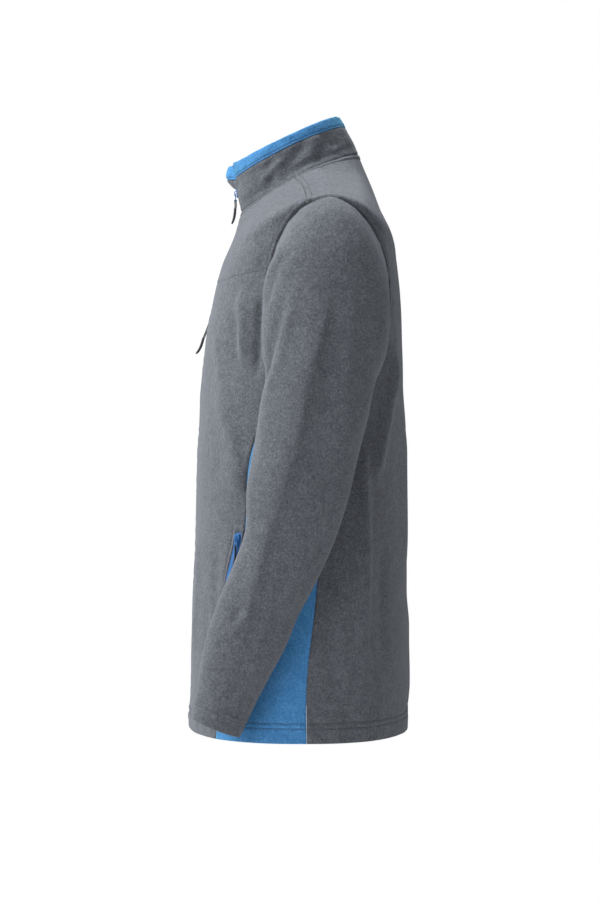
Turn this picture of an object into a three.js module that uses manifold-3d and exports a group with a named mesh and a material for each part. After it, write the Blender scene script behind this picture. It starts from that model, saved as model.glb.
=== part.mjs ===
// A fleece zip jacket, men's medium, filled out as if worn, with its sleeves hanging.
// Millimetres, +Z up. X points to the wearer's left and Y to the wearer's back.
// The origin is the middle of the neck base, where a wearer's neck and shoulders hold it.
import * as THREE from "three";
import { mergeVertices } from "three/addons/utils/BufferGeometryUtils.js";
import Module from "manifold-3d";

const wasm = await Module();
wasm.setup();

// Driving dimensions
const WALL = 2.5; // thickness of the fleece
const BINDING_WALL = 3.4; // thickness of the doubled binding
const SEAM_GAP = 0.3; // space between two sewn pieces
const LAID_GAP = 0.3; // space under a zip that lies on a panel
const HEM_LEVEL = -690; // height of the hem at the centre front
const YOKE_LEVEL = -127; // height of the front yoke seam
const NECK_LEVEL = -36; // height of the collar seam at the centre front
const BINDING_LEVEL = 7; // height of the binding's lower edge at the centre front
const COLLAR_TOP_LEVEL = 24; // height of the collar's top at the centre front
const SLIDER_LEVEL = -12; // height of the main zip's slider
const TAPE_SHOWS = 6; // width of each main zip tape between its coil and the fleece
const TAPE_THICK = 1.6;
const TAPE_SUNK = 1.9; // the main zip's tapes lie this far behind the fleece's face
const COLLAR_SPREAD = 15; // how far each collar front stands from the middle at its top
const COLLAR_BULGE = 19; // how far the right collar front bulges forward beside its edge
const COLLAR_LEAN = 9; // how far the left collar front's top leans forward
const POCKET_ZIP_WIDTH = 11;
const POCKET_ZIP_THICK = 1.4;
const CHEST_ZIP_X = 66; // distance of the chest zip from the middle
const CHEST_ZIP_TOP = -155;
const CHEST_ZIP_LENGTH = 130;
const HAND_ZIP_TOP = -440;
const HAND_ZIP_LENGTH = 165;
const HAND_ZIP_FROM_SEAM = 8; // middle of the hand zip to the side panel's seam
const TAPE_END = 2; // each main zip tape stops this short of the hem and the collar top
const SLIDER_BELOW_END = 7; // a pocket zip's slider below its top end

// Zip sliders, tabs, cords and grips
const SLIDER = {
  width: 8.6, length: 10.5, base: 2.6,
  archHalf: 3.6, archWidth: 1.8, archInner: 2, archThick: 1, archSunk: 0.4,
};
const TAB = { bar: 1.2, hole: 5, holeWidth: 2.6, width: 5.2, length: 10, thick: 1.2, eye: 2.2 };
const CORD = { radius: 1.3, bow: 1 };
const GRIP_SIDES = 10;
// Share of the grip's length, half width and half thickness
const GRIP_SECTIONS = [
  [0, 1.5, 1.3], [0.08, 2.2, 1.7], [0.35, 2.3, 1.7], [0.7, 2.1, 1.5], [0.93, 1.7, 1.2], [1, 1, 0.7],
];
const MAIN_HANG = [[0.2, 10], [0.6, 18], [0.8, 31], [5, 38.5]];
const CHEST_HANG = [[2.5, 11], [12, 34], [15.5, 50], [22, 55]];
const HAND_HANG = [[0.5, 10], [2, 26], [3, 41], [7, 47]];

const DEGREE = Math.PI / 180;
const BULGE_START = 0.8; // share of the front edge's angle where the right collar's bulge starts
const BULGE_RISE = 14 * DEGREE;
const BULGE_FADE = 35 * DEGREE;
const BULGE_END = 55 * DEGREE;
const LEAN_END = 40 * DEGREE;
const GREY_FLEECE = new THREE.MeshStandardMaterial({ color: 0x5c5f65, roughness: 0.95 });
const BLUE_FLEECE = new THREE.MeshStandardMaterial({ color: 0x3f82bd, roughness: 0.95 });
const BLUE_TAPE = new THREE.MeshStandardMaterial({ color: 0x2f74b5, roughness: 0.8 });
const BLUE_ENAMEL = new THREE.MeshStandardMaterial({ color: 0x3b82c4, roughness: 0.4, metalness: 0.3 });
const DARK_CORD = new THREE.MeshStandardMaterial({ color: 0x33343b, roughness: 0.8 });
const DARK_RUBBER = new THREE.MeshStandardMaterial({ color: 0x2c2d34, roughness: 0.5 });

// Rings round the body and collar, hem to collar top. level is the ring's height at the centre front.
// A square of 2 is an ellipse and more is flatter. drop bends the ring down from its side.
const RING_COLUMNS = [
  "level", "halfWidth", "frontY", "sideY", "sideZ", "backY", "backZ", "frontSquare", "backSquare", "drop",
];
const RINGS = [
  [-690, 212, -141, 0, -690, 137, -690, 2.3, 2.5, 2],
  [-625, 207, -139, 0, -625, 136.8, -625, 2.3, 2.5, 2],
  [-567, 203, -138, 0, -567, 136.5, -567, 2.3, 2.5, 2],
  [-479, 199, -134.5, 2, -479, 136, -479, 2.3, 2.5, 2],
  [-424, 198, -133, 4, -424, 135, -424, 2.3, 2.5, 2],
  [-339, 198, -130, 10, -340, 134, -340, 2.3, 2.6, 2],
  [-254, 199, -125, 20, -262, 131, -262, 2.3, 2.8, 2],
  [-208, 205, -121, 28, -195, 129.5, -213, 2.3, 3.0, 2],
  [-158, 213, -113, 33, -120, 127, -160, 2.3, 3.2, 2],
  [-121, 219, -103, 35, -62, 121, -104, 2.3, 3.3, 2],
  [-105, 222, -98, 36, -39, 116.7, -78, 2.2, 3.3, 1.9],
  [-95, 205, -94, 34, -32, 110, -60, 2.2, 3.2, 1.8],
  [-80, 170, -88, 29, -20, 101, -36, 2.2, 3.0, 1.6],
  [-62, 130, -82, 22, -8, 92, -10, 2.1, 2.7, 1.4],
  [-47, 100, -78, 15, 1, 84, 12, 2.1, 2.4, 1.2],
  [-36, 75, -75, 8, 10, 74.5, 37, 2.1, 2.2, 1],
  [-20, 71, -79, 2, 24, 69, 51, 2.1, 2.2, 1],
  [2, 68, -82, -4, 41, 60, 68, 2.1, 2.2, 1],
  [24, 66, -83, -9, 57, 50, 85, 2.1, 2.2, 1],
];

// Sections of the left sleeve, armhole to cuff. down is how far the section's middle is below the neck base.
const SLEEVE_COLUMNS = [
  "down", "outerX", "outerZ", "innerX", "innerZ", "frontY", "frontZ", "backY", "backZ",
];
const SLEEVE = [
  [153, 222, -39, 199, -268, -36, -153.5, 108, -153.5],
  [162, 233, -45, 201.5, -273, -38, -163, 107.5, -162],
  [174, 250, -58, 203, -278, -41, -175, 107, -174],
  [191, 268, -88, 204, -283, -45, -192, 106, -190],
  [215, 282, -138, 205, -288, -45, -217, 102, -214],
  [252, 291, -208, 206, -296, -41, -252, 90, -253],
  [297, 295, -288, 207, -306, -48, -292, 80, -302],
  [346, 294, -346, 209, -350, -55, -340, 67, -352],
  [397, 291, -397, 210, -400, -62, -390, 54, -405],
  [440, 287, -440, 209, -442, -65, -432, 41, -447],
  [482, 282, -482, 207, -484, -78, -475, 22, -490],
  [525, 275, -525, 203, -527, -97, -518, 0, -532],
  [577, 266, -577, 197, -580, -113, -568, -24, -586],
  [631, 259, -631, 192, -634, -123, -622, -53, -641],
  [668, 255, -668, 189, -672, -129, -657, -72, -680],
];

// The armhole, seen from the side: a rounded oval about its middle, slimmer at its upper back,
// whose top is drawn down on both sides to a low peak.
const ARMHOLE = {
  middleY: 36, middleZ: -153.5, halfDepth: 72, halfHeight: 114.5, square: 2.2, backSquare: 1.95, peak: 13,
};
// Angles round the armhole, from its top over the front to the underarm and up the back.
const SHOULDER_SEAM_ANGLE = 24;
const YOKE_SEAM_ANGLE = 76;
const FRONT_SEAM_ANGLE = 150;
const BACK_SEAM_ANGLE = 195;

// Seams of the blue side panel below the armhole, as [y, z] seen from the side, hem upwards.
const FRONT_SEAM = [[-102, -690], [-90, -569], [-78, -497], [-68, -448], [-65, -412], [-54, -328]];
const BACK_SEAM = [[8, -690], [8, -624], [17.5, -533], [25, -460], [35, -380], [45, -310]];

// Large soft folds of the body as [y, z] seen from the side, with their width and height.
const BODY_FOLDS = [
  { width: 26, height: 4, path: [[-101, -226], [-84, -309], [-74, -359], [-67, -408]] },
  { width: 22, height: 4, path: [[118, -176], [114, -237], [106, -299], [96, -349], [86, -400]] },
  { width: 20, height: 3.5, path: [[80, -319], [76, -360], [79, -419], [80, -469], [77, -560], [76, -650]] },
  { width: 16, height: -3, path: [[100, -420], [98, -520], [104, -640]] },
];
const ARC_PER_RADIAN = 170; // rough length of a radian round the body, for widths of folds

// Large folds of the sleeve as [angle, down], with their width and height.
const SLEEVE_FOLDS = [
  { width: 18, height: 3.5, path: [[20, 190], [26, 250], [32, 330], [38, 400], [52, 480]] },
  { width: 14, height: -4, path: [[118, 215], [100, 245], [84, 285]] },
  { width: 16, height: -3, path: [[300, 430], [320, 455], [340, 470]] },
];
const ARC_PER_SLEEVE_RADIAN = 58;

// Mesh counts
const ROWS_TO_UNDERARM = 12;
const ROWS_TO_YOKE = 5;
const ROWS_TO_SHOULDER = 4;
const ROWS_OF_SHOULDER = 6;
const ROWS_OF_BACK_ARMHOLE = 12;
const COLUMNS_OF_FRONT = 8;
const COLUMNS_OF_SIDE = 4;
const COLUMNS_OF_BACK = 18;
const ROWS_OF_COLLAR = 6;
const ROWS_OF_BINDING = 2;
const ROWS_OF_FRONT_TAPE = 30;
const POCKET_ZIP_ROWS = 8;

const lerp = (a, b, t) => a + (b - a) * t;
const clamp = (value, low, high) => Math.min(high, Math.max(low, value));
const smooth = (t) => {
  const c = clamp(t, 0, 1);
  return c * c * (3 - 2 * c);
};

// A row of a table at a key between its rows, on smooth curves through all of them.
function rowAt(table, key) {
  const last = table.length - 1;
  let i = 0;
  while (i < last - 1 && key > table[i + 1][0]) i += 1;
  const slope = (k, column) => (table[k + 1][column] - table[k][column]) / (table[k + 1][0] - table[k][0]);
  const tangent = (k, column) => {
    if (k === 0) return slope(0, column);
    if (k === last) return slope(last - 1, column);
    const before = table[k][0] - table[k - 1][0];
    const after = table[k + 1][0] - table[k][0];
    return (slope(k, column) * before + slope(k - 1, column) * after) / (before + after);
  };
  const step = table[i + 1][0] - table[i][0];
  const t = (key - table[i][0]) / step;
  return table[i].map((value, column) => {
    const t2 = t * t;
    const t3 = t2 * t;
    return value * (2 * t3 - 3 * t2 + 1)
      + table[i + 1][column] * (3 * t2 - 2 * t3)
      + step * tangent(i, column) * (t3 - 2 * t2 + t)
      + step * tangent(i + 1, column) * (t3 - t2);
  });
}

const named = (columns, row) => Object.fromEntries(columns.map((name, i) => [name, row[i]]));
// SLEEVE runs downwards and RINGS upwards, and both keys grow.
const ringAt = (level) => named(RING_COLUMNS, rowAt(RINGS, level));
const sleeveAt = (down) => named(SLEEVE_COLUMNS, rowAt(SLEEVE, down));

// The two sides of a rounded oval of a given squareness, at an angle: [along the cosine, along the sine].
function oval(angle, square) {
  const c = Math.cos(angle);
  const s = Math.sin(angle);
  const size = (Math.abs(c) ** square + Math.abs(s) ** square) ** (-1 / square);
  return [c * size, s * size];
}

// Share of the height from the slider to the collar's top.
const aboveSlider = (level) => clamp((level - SLIDER_LEVEL) / (COLLAR_TOP_LEVEL - SLIDER_LEVEL), 0, 1);
// Half the main zip's opening at a level: shut below the slider, spread above it.
const zipOpening = (level) => COLLAR_SPREAD * aboveSlider(level) ** 1.2;
const frontEdgeAngle = (level) => Math.atan((zipOpening(level) + TAPE_SHOWS) / ringAt(level).halfWidth);

// How far the open collar fronts stand forward. The right one bulges beside its edge, most two
// thirds of the way up, and the left one leans forward at its top.
function collarForward(angle, level) {
  const above = aboveSlider(level);
  if (angle > 0) return COLLAR_LEAN * above ** 3 * smooth(1 - angle / LEAN_END);
  const start = BULGE_START * frontEdgeAngle(level);
  const rise = smooth((-angle - start) / BULGE_RISE);
  const fade = smooth((BULGE_END + angle) / BULGE_FADE);
  return COLLAR_BULGE * Math.sin((2 / 3) * Math.PI * above) * smooth(above * 4) * rise * fade;
}

// An angle brought to between -180 and 180 degrees.
const wrapped = (angle) => angle - 2 * Math.PI * Math.round(angle / (2 * Math.PI));

// The body's smooth outer face. angle is 0 at the centre front and grows to the wearer's left.
function bodyFace(angle, level) {
  const ring = ringAt(level);
  const front = Math.cos(angle) > 0;
  const [c, s] = oval(angle, front ? ring.frontSquare : ring.backSquare);
  const reach = Math.abs(c);
  const y = lerp(ring.sideY, front ? ring.frontY : ring.backY, reach);
  const z = lerp(ring.sideZ, front ? level : ring.backZ, reach ** ring.drop);
  const forward = front ? collarForward(wrapped(angle), level) : 0;
  return new THREE.Vector3(ring.halfWidth * s, y - forward, z);
}

// The unit normal of a surface given as a function of two parameters.
function normalOf(face, a, b, stepA, stepB) {
  const alongA = face(a + stepA, b).sub(face(a - stepA, b));
  const alongB = face(a, b + stepB).sub(face(a, b - stepB));
  return alongA.cross(alongB).normalize();
}

const bodyNormal = (angle, level) => normalOf(bodyFace, angle, level, 0.01, 2);

// Where the left half of the body is seen at [y, z] from the side: its angle and level.
function seenFromSide(y, z) {
  let angle = 90 * DEGREE;
  let level = clamp(z - 20, HEM_LEVEL, -110);
  for (let round = 0; round < 40; round += 1) {
    const here = bodyFace(angle, level);
    const da = bodyFace(angle + 0.001, level).sub(here).divideScalar(0.001);
    const dl = bodyFace(angle, level + 0.05).sub(here).divideScalar(0.05);
    const missY = y - here.y;
    const missZ = z - here.z;
    const area = da.y * dl.z - dl.y * da.z;
    angle += clamp((missY * dl.z - dl.y * missZ) / area, -0.15, 0.15);
    level = clamp(level + clamp((da.y * missZ - da.z * missY) / area, -20, 20), HEM_LEVEL, NECK_LEVEL);
  }
  return [angle, level];
}

// Height of the folds at a place, from distances to their paths in a flattened map.
function foldHeight(folds, across, along) {
  let height = 0;
  for (const fold of folds) {
    let best = { distance: Infinity, share: 0 };
    const pieces = fold.flat.length - 1;
    for (let i = 0; i < pieces; i += 1) {
      const [ax, ay] = fold.flat[i];
      const [bx, by] = fold.flat[i + 1];
      const long = (bx - ax) ** 2 + (by - ay) ** 2;
      const t = clamp(((across - ax) * (bx - ax) + (along - ay) * (by - ay)) / long, 0, 1);
      const distance = Math.hypot(across - lerp(ax, bx, t), along - lerp(ay, by, t));
      if (distance < best.distance) best = { distance, share: (i + t) / pieces };
    }
    const ends = smooth(best.share * 5) * smooth((1 - best.share) * 5);
    height += fold.height * ends * Math.exp(-((best.distance / fold.width) ** 2));
  }
  return height;
}

const bodyFolds = BODY_FOLDS.map((fold) => ({
  ...fold,
  flat: fold.path.map(([y, z]) => {
    const [angle, level] = seenFromSide(y, z);
    return [angle * ARC_PER_RADIAN, level];
  }),
}));
const sleeveFolds = SLEEVE_FOLDS.map((fold) => ({
  ...fold,
  flat: fold.path.map(([angle, down]) => [angle * DEGREE * ARC_PER_SLEEVE_RADIAN, down]),
}));

// A point on the body, its folds included, moved out along the normal.
function bodyPoint([angle, level], out = 0) {
  const height = foldHeight(bodyFolds, Math.abs(wrapped(angle)) * ARC_PER_RADIAN, level);
  return bodyFace(angle, level).addScaledVector(bodyNormal(angle, level), height + out);
}

// The armhole seam at an angle in degrees, as the body's [angle, level].
function armhole(degrees) {
  const angle = degrees * DEGREE;
  const upperBack = Math.sin(angle) < 0 && Math.cos(angle) > 0;
  const [c, s] = oval(angle, upperBack ? ARMHOLE.backSquare : ARMHOLE.square);
  const drawnDown = c > 0 ? ARMHOLE.peak * Math.abs(s) * (1 - Math.abs(s)) : 0;
  const y = ARMHOLE.middleY - ARMHOLE.halfDepth * s;
  return seenFromSide(y, ARMHOLE.middleZ + ARMHOLE.halfHeight * c - drawnDown);
}

// The left sleeve's outer face. Its first sections ease from the armhole's own line into ovals.
function sleeveOval(angle, down) {
  const section = sleeveAt(down);
  const [c, s] = oval(angle, 2.1);
  const { outerX, outerZ, innerX, innerZ, frontY, frontZ, backY, backZ } = section;
  const middleZ = lerp((outerZ + innerZ) / 2, (frontZ + backZ) / 2, s * s / (s * s + c * c));
  return new THREE.Vector3(
    (outerX + innerX) / 2 + (c * (outerX - innerX)) / 2,
    (frontY + backY) / 2 + (s * (frontY - backY)) / 2,
    middleZ + (c * (outerZ - innerZ)) / 2 + (s * (frontZ - backZ)) / 2,
  );
}

const SLEEVE_TOP = SLEEVE[0][0];
const EASE_END = SLEEVE[3][0];
const armholeCache = new Map();
function armholePoint(degrees) {
  const key = Math.round(degrees * 1000);
  if (!armholeCache.has(key)) armholeCache.set(key, bodyPoint(armhole(degrees)));
  return armholeCache.get(key);
}

function sleeveFace(angle, down) {
  const away = armholePoint(angle / DEGREE).clone().sub(sleeveOval(angle, SLEEVE_TOP));
  const inward = new THREE.Vector3(0, Math.sin(angle), -Math.cos(angle));
  away.addScaledVector(inward, SEAM_GAP).add(new THREE.Vector3(SEAM_GAP, 0, 0));
  const left = clamp((EASE_END - down) / (EASE_END - SLEEVE_TOP), 0, 1) ** 2;
  return sleeveOval(angle, down).addScaledVector(away, left);
}

function sleevePoint(angle, down, out = 0) {
  const normal = normalOf(sleeveFace, angle, down, 0.02, 1);
  const turn = ((angle / DEGREE) % 360) * DEGREE;
  const height = foldHeight(sleeveFolds, turn * ARC_PER_SLEEVE_RADIAN, down);
  return sleeveFace(angle, down).addScaledVector(normal, height + out);
}

// A closed wall between an outer and an inner grid of points, grid[row][column].
// wrap joins the last column to the first, and flip is for a mirrored piece. A centred piece
// splits the squares of its second half the other way, so that both halves match.
function wallMesh(outer, inner, { wrap = false, flip = false, centred = false } = {}) {
  const rows = outer.length;
  const columns = outer[0].length;
  const points = [...outer.flat(), ...inner.flat()];
  const triangles = [];
  const quad = (a, b, c, d, second = false) => {
    if (second) triangles.push(a, b, d, b, c, d);
    else if (flip) triangles.push(a, c, b, a, d, c);
    else triangles.push(a, b, c, a, c, d);
  };
  const at = (layer, row, column) => (layer * rows + row) * columns + (column % columns);
  const steps = wrap ? columns : columns - 1;
  for (let r = 0; r < rows - 1; r += 1) {
    for (let c = 0; c < steps; c += 1) {
      const second = centred && c >= steps / 2;
      quad(at(0, r, c), at(0, r, c + 1), at(0, r + 1, c + 1), at(0, r + 1, c), second);
      quad(at(1, r, c), at(1, r + 1, c), at(1, r + 1, c + 1), at(1, r, c + 1), second);
    }
  }
  for (let c = 0; c < steps; c += 1) {
    quad(at(0, 0, c), at(1, 0, c), at(1, 0, c + 1), at(0, 0, c + 1));
    quad(at(0, rows - 1, c), at(0, rows - 1, c + 1), at(1, rows - 1, c + 1), at(1, rows - 1, c));
  }
  if (!wrap) {
    for (let r = 0; r < rows - 1; r += 1) {
      quad(at(0, r, 0), at(0, r + 1, 0), at(1, r + 1, 0), at(1, r, 0));
      const end = columns - 1;
      quad(at(0, r, end), at(1, r, end), at(1, r + 1, end), at(0, r + 1, end));
    }
  }
  const geometry = new THREE.BufferGeometry();
  const flat = new Float32Array(points.flatMap((p) => [p.x, p.y, p.z]));
  geometry.setAttribute("position", new THREE.BufferAttribute(flat, 3));
  geometry.setIndex(triangles);
  geometry.computeVertexNormals();
  return geometry;
}

// Pulls the rim of a panel in by half a seam gap, on both its faces.
function pullRimIn(outer, inner) {
  const rows = outer.length;
  const columns = outer[0].length;
  const moves = [];
  const towards = (r, c, r2, c2) => {
    const move = outer[r2][c2].clone().sub(outer[r][c]).setLength(SEAM_GAP / 2);
    moves.push([r, c, move]);
  };
  for (let r = 0; r < rows; r += 1) {
    towards(r, 0, r, 1);
    towards(r, columns - 1, r, columns - 2);
  }
  for (let c = 0; c < columns; c += 1) {
    towards(0, c, 1, c);
    towards(rows - 1, c, rows - 2, c);
  }
  for (const [r, c, move] of moves) {
    outer[r][c].add(move);
    inner[r][c].add(move);
  }
}

// A panel of the body from its four edges, each a list of [angle, level] with matching counts.
// The places between the edges are blended from all four. middle, if given, is the level
// that each row reaches halfway between its ends.
function bodyPanel({ bottom, top, left, right, middle, mirrored = false, wall = WALL, out = 0 }) {
  const columns = bottom.length;
  const rows = left.length;
  const side = mirrored ? -1 : 1;
  const outer = [];
  const inner = [];
  for (let r = 0; r < rows; r += 1) {
    const v = r / (rows - 1);
    const outerRow = [];
    const innerRow = [];
    for (let c = 0; c < columns; c += 1) {
      const u = c / (columns - 1);
      const place = [0, 1].map((k) => {
        const sides = lerp(left[r][k], right[r][k], u);
        const ends = lerp(bottom[c][k], top[c][k], v);
        const low = lerp(bottom[0][k], bottom[columns - 1][k], u);
        const high = lerp(top[0][k], top[columns - 1][k], u);
        return sides + ends - lerp(low, high, v);
      });
      if (middle) {
        const ends = (left[r][1] + right[r][1]) / 2;
        place[1] += (middle[r] - ends) * (1 - Math.abs(2 * u - 1) ** 1.5);
      }
      const seat = [side * place[0], place[1]];
      outerRow.push(bodyPoint(seat, out));
      innerRow.push(bodyPoint(seat, out - wall));
    }
    outer.push(outerRow);
    inner.push(innerRow);
  }
  pullRimIn(outer, inner);
  return wallMesh(outer, inner, { flip: mirrored, centred: right[0][0] > Math.PI });
}

const spread = (count, from, to) => Array.from({ length: count + 1 }, (_, i) => lerp(from, to, i / count));
const between = (count, a, b) => spread(count, 0, 1).map((t) => [lerp(a[0], b[0], t), lerp(a[1], b[1], t)]);

// A seam below the armhole, resampled evenly from the hem to the armhole.
function seamToArmhole(points, armholeDegrees) {
  const places = points.map(([y, z]) => seenFromSide(y, z));
  places.push(armhole(armholeDegrees));
  const byLevel = places.map(([angle, level]) => [level, angle]);
  const levels = spread(ROWS_TO_UNDERARM, HEM_LEVEL, byLevel[byLevel.length - 1][0]);
  return levels.map((level) => [rowAt(byLevel, level)[1], level]);
}

const armholeRun = (count, from, to) => spread(count, from, to).map((degrees) => armhole(degrees));

const frontSeam = seamToArmhole(FRONT_SEAM, FRONT_SEAM_ANGLE);
const backSeam = seamToArmhole(BACK_SEAM, BACK_SEAM_ANGLE);
const shoulderEnd = armhole(SHOULDER_SEAM_ANGLE);
const neckEnd = [79 * DEGREE, NECK_LEVEL];
const shoulderSeam = between(ROWS_OF_SHOULDER, shoulderEnd, neckEnd);
const onFrontEdge = (level) => [frontEdgeAngle(level), level];

const jacket = new THREE.Group();
function add(name, geometry, material) {
  const mesh = new THREE.Mesh(geometry, material);
  mesh.name = name;
  jacket.add(mesh);
  return mesh;
}
const SIDES = [["left", false], ["right", true]];

// Fronts, from the hem to the yoke seam
for (const [name, mirrored] of SIDES) {
  const right = [...frontSeam, ...armholeRun(ROWS_TO_YOKE, FRONT_SEAM_ANGLE, YOKE_SEAM_ANGLE).slice(1)];
  const toUnderarm = frontSeam.map(([, level]) => onFrontEdge(level));
  const underarmLevel = frontSeam[frontSeam.length - 1][1];
  const toYoke = spread(ROWS_TO_YOKE, underarmLevel, YOKE_LEVEL).slice(1).map(onFrontEdge);
  const left = [...toUnderarm, ...toYoke];
  const bottom = between(COLUMNS_OF_FRONT, left[0], right[0]);
  const top = between(COLUMNS_OF_FRONT, left[left.length - 1], right[right.length - 1]);
  add("front_" + name, bodyPanel({ bottom, top, left, right, mirrored }), GREY_FLEECE);
}

// Front yokes, from the yoke seam to the neck and the forward shoulder seam
for (const [name, mirrored] of SIDES) {
  const armholeFront = armholeRun(ROWS_TO_SHOULDER, YOKE_SEAM_ANGLE, SHOULDER_SEAM_ANGLE);
  const right = [...armholeFront, ...shoulderSeam.slice(1)];
  const left = spread(ROWS_TO_SHOULDER + ROWS_OF_SHOULDER, YOKE_LEVEL, NECK_LEVEL).map(onFrontEdge);
  const bottom = between(COLUMNS_OF_FRONT, left[0], right[0]);
  const top = between(COLUMNS_OF_FRONT, left[left.length - 1], right[right.length - 1]);
  add("yoke_" + name, bodyPanel({ bottom, top, left, right, mirrored }), GREY_FLEECE);
}

// Back, in one piece over the crest of the shoulders to the shoulder seams
{
  const armholeBack = armholeRun(ROWS_OF_BACK_ARMHOLE, BACK_SEAM_ANGLE, 360 + SHOULDER_SEAM_ANGLE);
  const left = [...backSeam, ...armholeBack.slice(1), ...shoulderSeam.slice(1)];
  const right = left.map(([angle, level]) => [360 * DEGREE - angle, level]);
  const bottom = between(COLUMNS_OF_BACK, left[0], right[0]);
  const top = between(COLUMNS_OF_BACK, left[left.length - 1], right[right.length - 1]);
  const rowsAbove = left.length - 1 - ROWS_TO_UNDERARM;
  const underarmLevel = backSeam[ROWS_TO_UNDERARM][1];
  const byHeight = RINGS.map((row) => [named(RING_COLUMNS, row).backZ, row[0]]);
  const above = spread(rowsAbove, ringAt(underarmLevel).backZ, ringAt(NECK_LEVEL).backZ);
  const middle = [
    ...backSeam.map(([, level]) => level),
    ...above.slice(1, -1).map((height) => rowAt(byHeight, height)[1]),
    NECK_LEVEL,
  ];
  add("back", bodyPanel({ bottom, top, left, right, middle }), GREY_FLEECE);
}

// Side panels, from the hem to the bottom of the armhole
for (const [name, mirrored] of SIDES) {
  const bottom = between(COLUMNS_OF_SIDE, frontSeam[0], backSeam[0]);
  const top = armholeRun(COLUMNS_OF_SIDE, FRONT_SEAM_ANGLE, BACK_SEAM_ANGLE);
  const panel = bodyPanel({ bottom, top, left: frontSeam, right: backSeam, mirrored });
  add("side_panel_" + name, panel, BLUE_FLEECE);
}

// Sleeves, on the same angles as the panels that they are sewn to
for (const [name, mirrored] of SIDES) {
  const angles = [
    ...spread(ROWS_TO_SHOULDER, SHOULDER_SEAM_ANGLE, YOKE_SEAM_ANGLE).slice(0, -1),
    ...spread(ROWS_TO_YOKE, YOKE_SEAM_ANGLE, FRONT_SEAM_ANGLE).slice(0, -1),
    ...spread(COLUMNS_OF_SIDE, FRONT_SEAM_ANGLE, BACK_SEAM_ANGLE).slice(0, -1),
    ...spread(ROWS_OF_BACK_ARMHOLE, BACK_SEAM_ANGLE, 360 + SHOULDER_SEAM_ANGLE).slice(0, -1),
  ];
  const grid = (out) => SLEEVE.map(([down]) => angles.map((angle) => {
    const point = sleevePoint(angle * DEGREE, down, out);
    if (mirrored) point.x = -point.x;
    return point;
  }));
  add("sleeve_" + name, wallMesh(grid(0), grid(-WALL), { wrap: true, flip: mirrored }), GREY_FLEECE);
}

// Collar and its binding, open at the front, on the same angles as the neck of the panels
function neckRow(level) {
  const edge = frontEdgeAngle(level);
  const shoulder = neckEnd[0];
  const turn = 360 * DEGREE;
  return [
    ...spread(COLUMNS_OF_FRONT, edge, shoulder).slice(0, -1),
    ...spread(COLUMNS_OF_BACK, shoulder, turn - shoulder).slice(0, -1),
    ...spread(COLUMNS_OF_FRONT, turn - shoulder, turn - edge),
  ].map((angle) => [angle, level]);
}
const collarLevels = spread(ROWS_OF_COLLAR, NECK_LEVEL, BINDING_LEVEL);
const bindingLevels = spread(ROWS_OF_BINDING, BINDING_LEVEL, COLLAR_TOP_LEVEL);
function collarBand(levels, wall, out) {
  const left = levels.map(onFrontEdge);
  const right = left.map(([angle, level]) => [360 * DEGREE - angle, level]);
  const bottom = neckRow(levels[0]);
  const top = neckRow(levels[levels.length - 1]);
  return bodyPanel({ bottom, top, left, right, wall, out });
}
add("collar", collarBand(collarLevels, WALL, 0), GREY_FLEECE);
add("collar_binding", collarBand(bindingLevels, BINDING_WALL, (BINDING_WALL - WALL) / 2), BLUE_FLEECE);

// Main zip tapes with their coils, between the fronts from the hem to the collar top
for (const [name, mirrored] of SIDES) {
  const levels = [
    ...spread(ROWS_OF_FRONT_TAPE, HEM_LEVEL + TAPE_END, NECK_LEVEL).slice(0, -1),
    ...collarLevels.slice(0, -1),
    ...bindingLevels.slice(0, -1),
    COLLAR_TOP_LEVEL - TAPE_END,
  ];
  const left = levels.map((level) => [Math.atan(zipOpening(level) / ringAt(level).halfWidth), level]);
  const right = levels.map(onFrontEdge);
  const bottom = [left[0], right[0]];
  const top = [left[left.length - 1], right[right.length - 1]];
  const tape = bodyPanel({ bottom, top, left, right, mirrored, wall: TAPE_THICK, out: -TAPE_SUNK });
  add("main_tape_" + name, tape, BLUE_TAPE);
}

// The angle at which the body's face is x wide of the middle.
function angleAtX(x, level) {
  let low = 0;
  let high = 85 * DEGREE;
  for (let round = 0; round < 40; round += 1) {
    const middle = (low + high) / 2;
    if (bodyFace(middle, level).x < x) low = middle;
    else high = middle;
  }
  return low;
}

// The angle of the side panel's front seam, moved a distance along the face towards the front.
function angleBeforeSeam(distance, level) {
  const byLevel = frontSeam.map(([angle, seamLevel]) => [seamLevel, angle]);
  const angle = rowAt(byLevel, level)[1];
  const arc = bodyFace(angle, level).distanceTo(bodyFace(angle - 0.01, level)) / 0.01;
  return angle - distance / arc;
}

// Pocket zips lie on the fronts. lineAt gives the angle of a line at an offset across the zip.
function pocketZip(name, top, length, mirrored, lineAt) {
  const levels = spread(POCKET_ZIP_ROWS, top - length, top);
  const left = levels.map((level) => [lineAt(-POCKET_ZIP_WIDTH / 2, level), level]);
  const right = levels.map((level) => [lineAt(POCKET_ZIP_WIDTH / 2, level), level]);
  const bottom = [left[0], right[0]];
  const topRow = [left[POCKET_ZIP_ROWS], right[POCKET_ZIP_ROWS]];
  const out = POCKET_ZIP_THICK + LAID_GAP;
  const strip = bodyPanel({ bottom, top: topRow, left, right, mirrored, wall: POCKET_ZIP_THICK, out });
  add(name, strip, BLUE_TAPE);
}
const chestLine = (offset, level) => angleAtX(CHEST_ZIP_X + offset, level);
const handLine = (offset, level) => angleBeforeSeam(HAND_ZIP_FROM_SEAM - offset, level);
pocketZip("chest_zip", CHEST_ZIP_TOP, CHEST_ZIP_LENGTH, true, chestLine);
for (const [name, mirrored] of SIDES) {
  pocketZip("hand_zip_" + name, HAND_ZIP_TOP, HAND_ZIP_LENGTH, mirrored, handLine);
}

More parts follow.
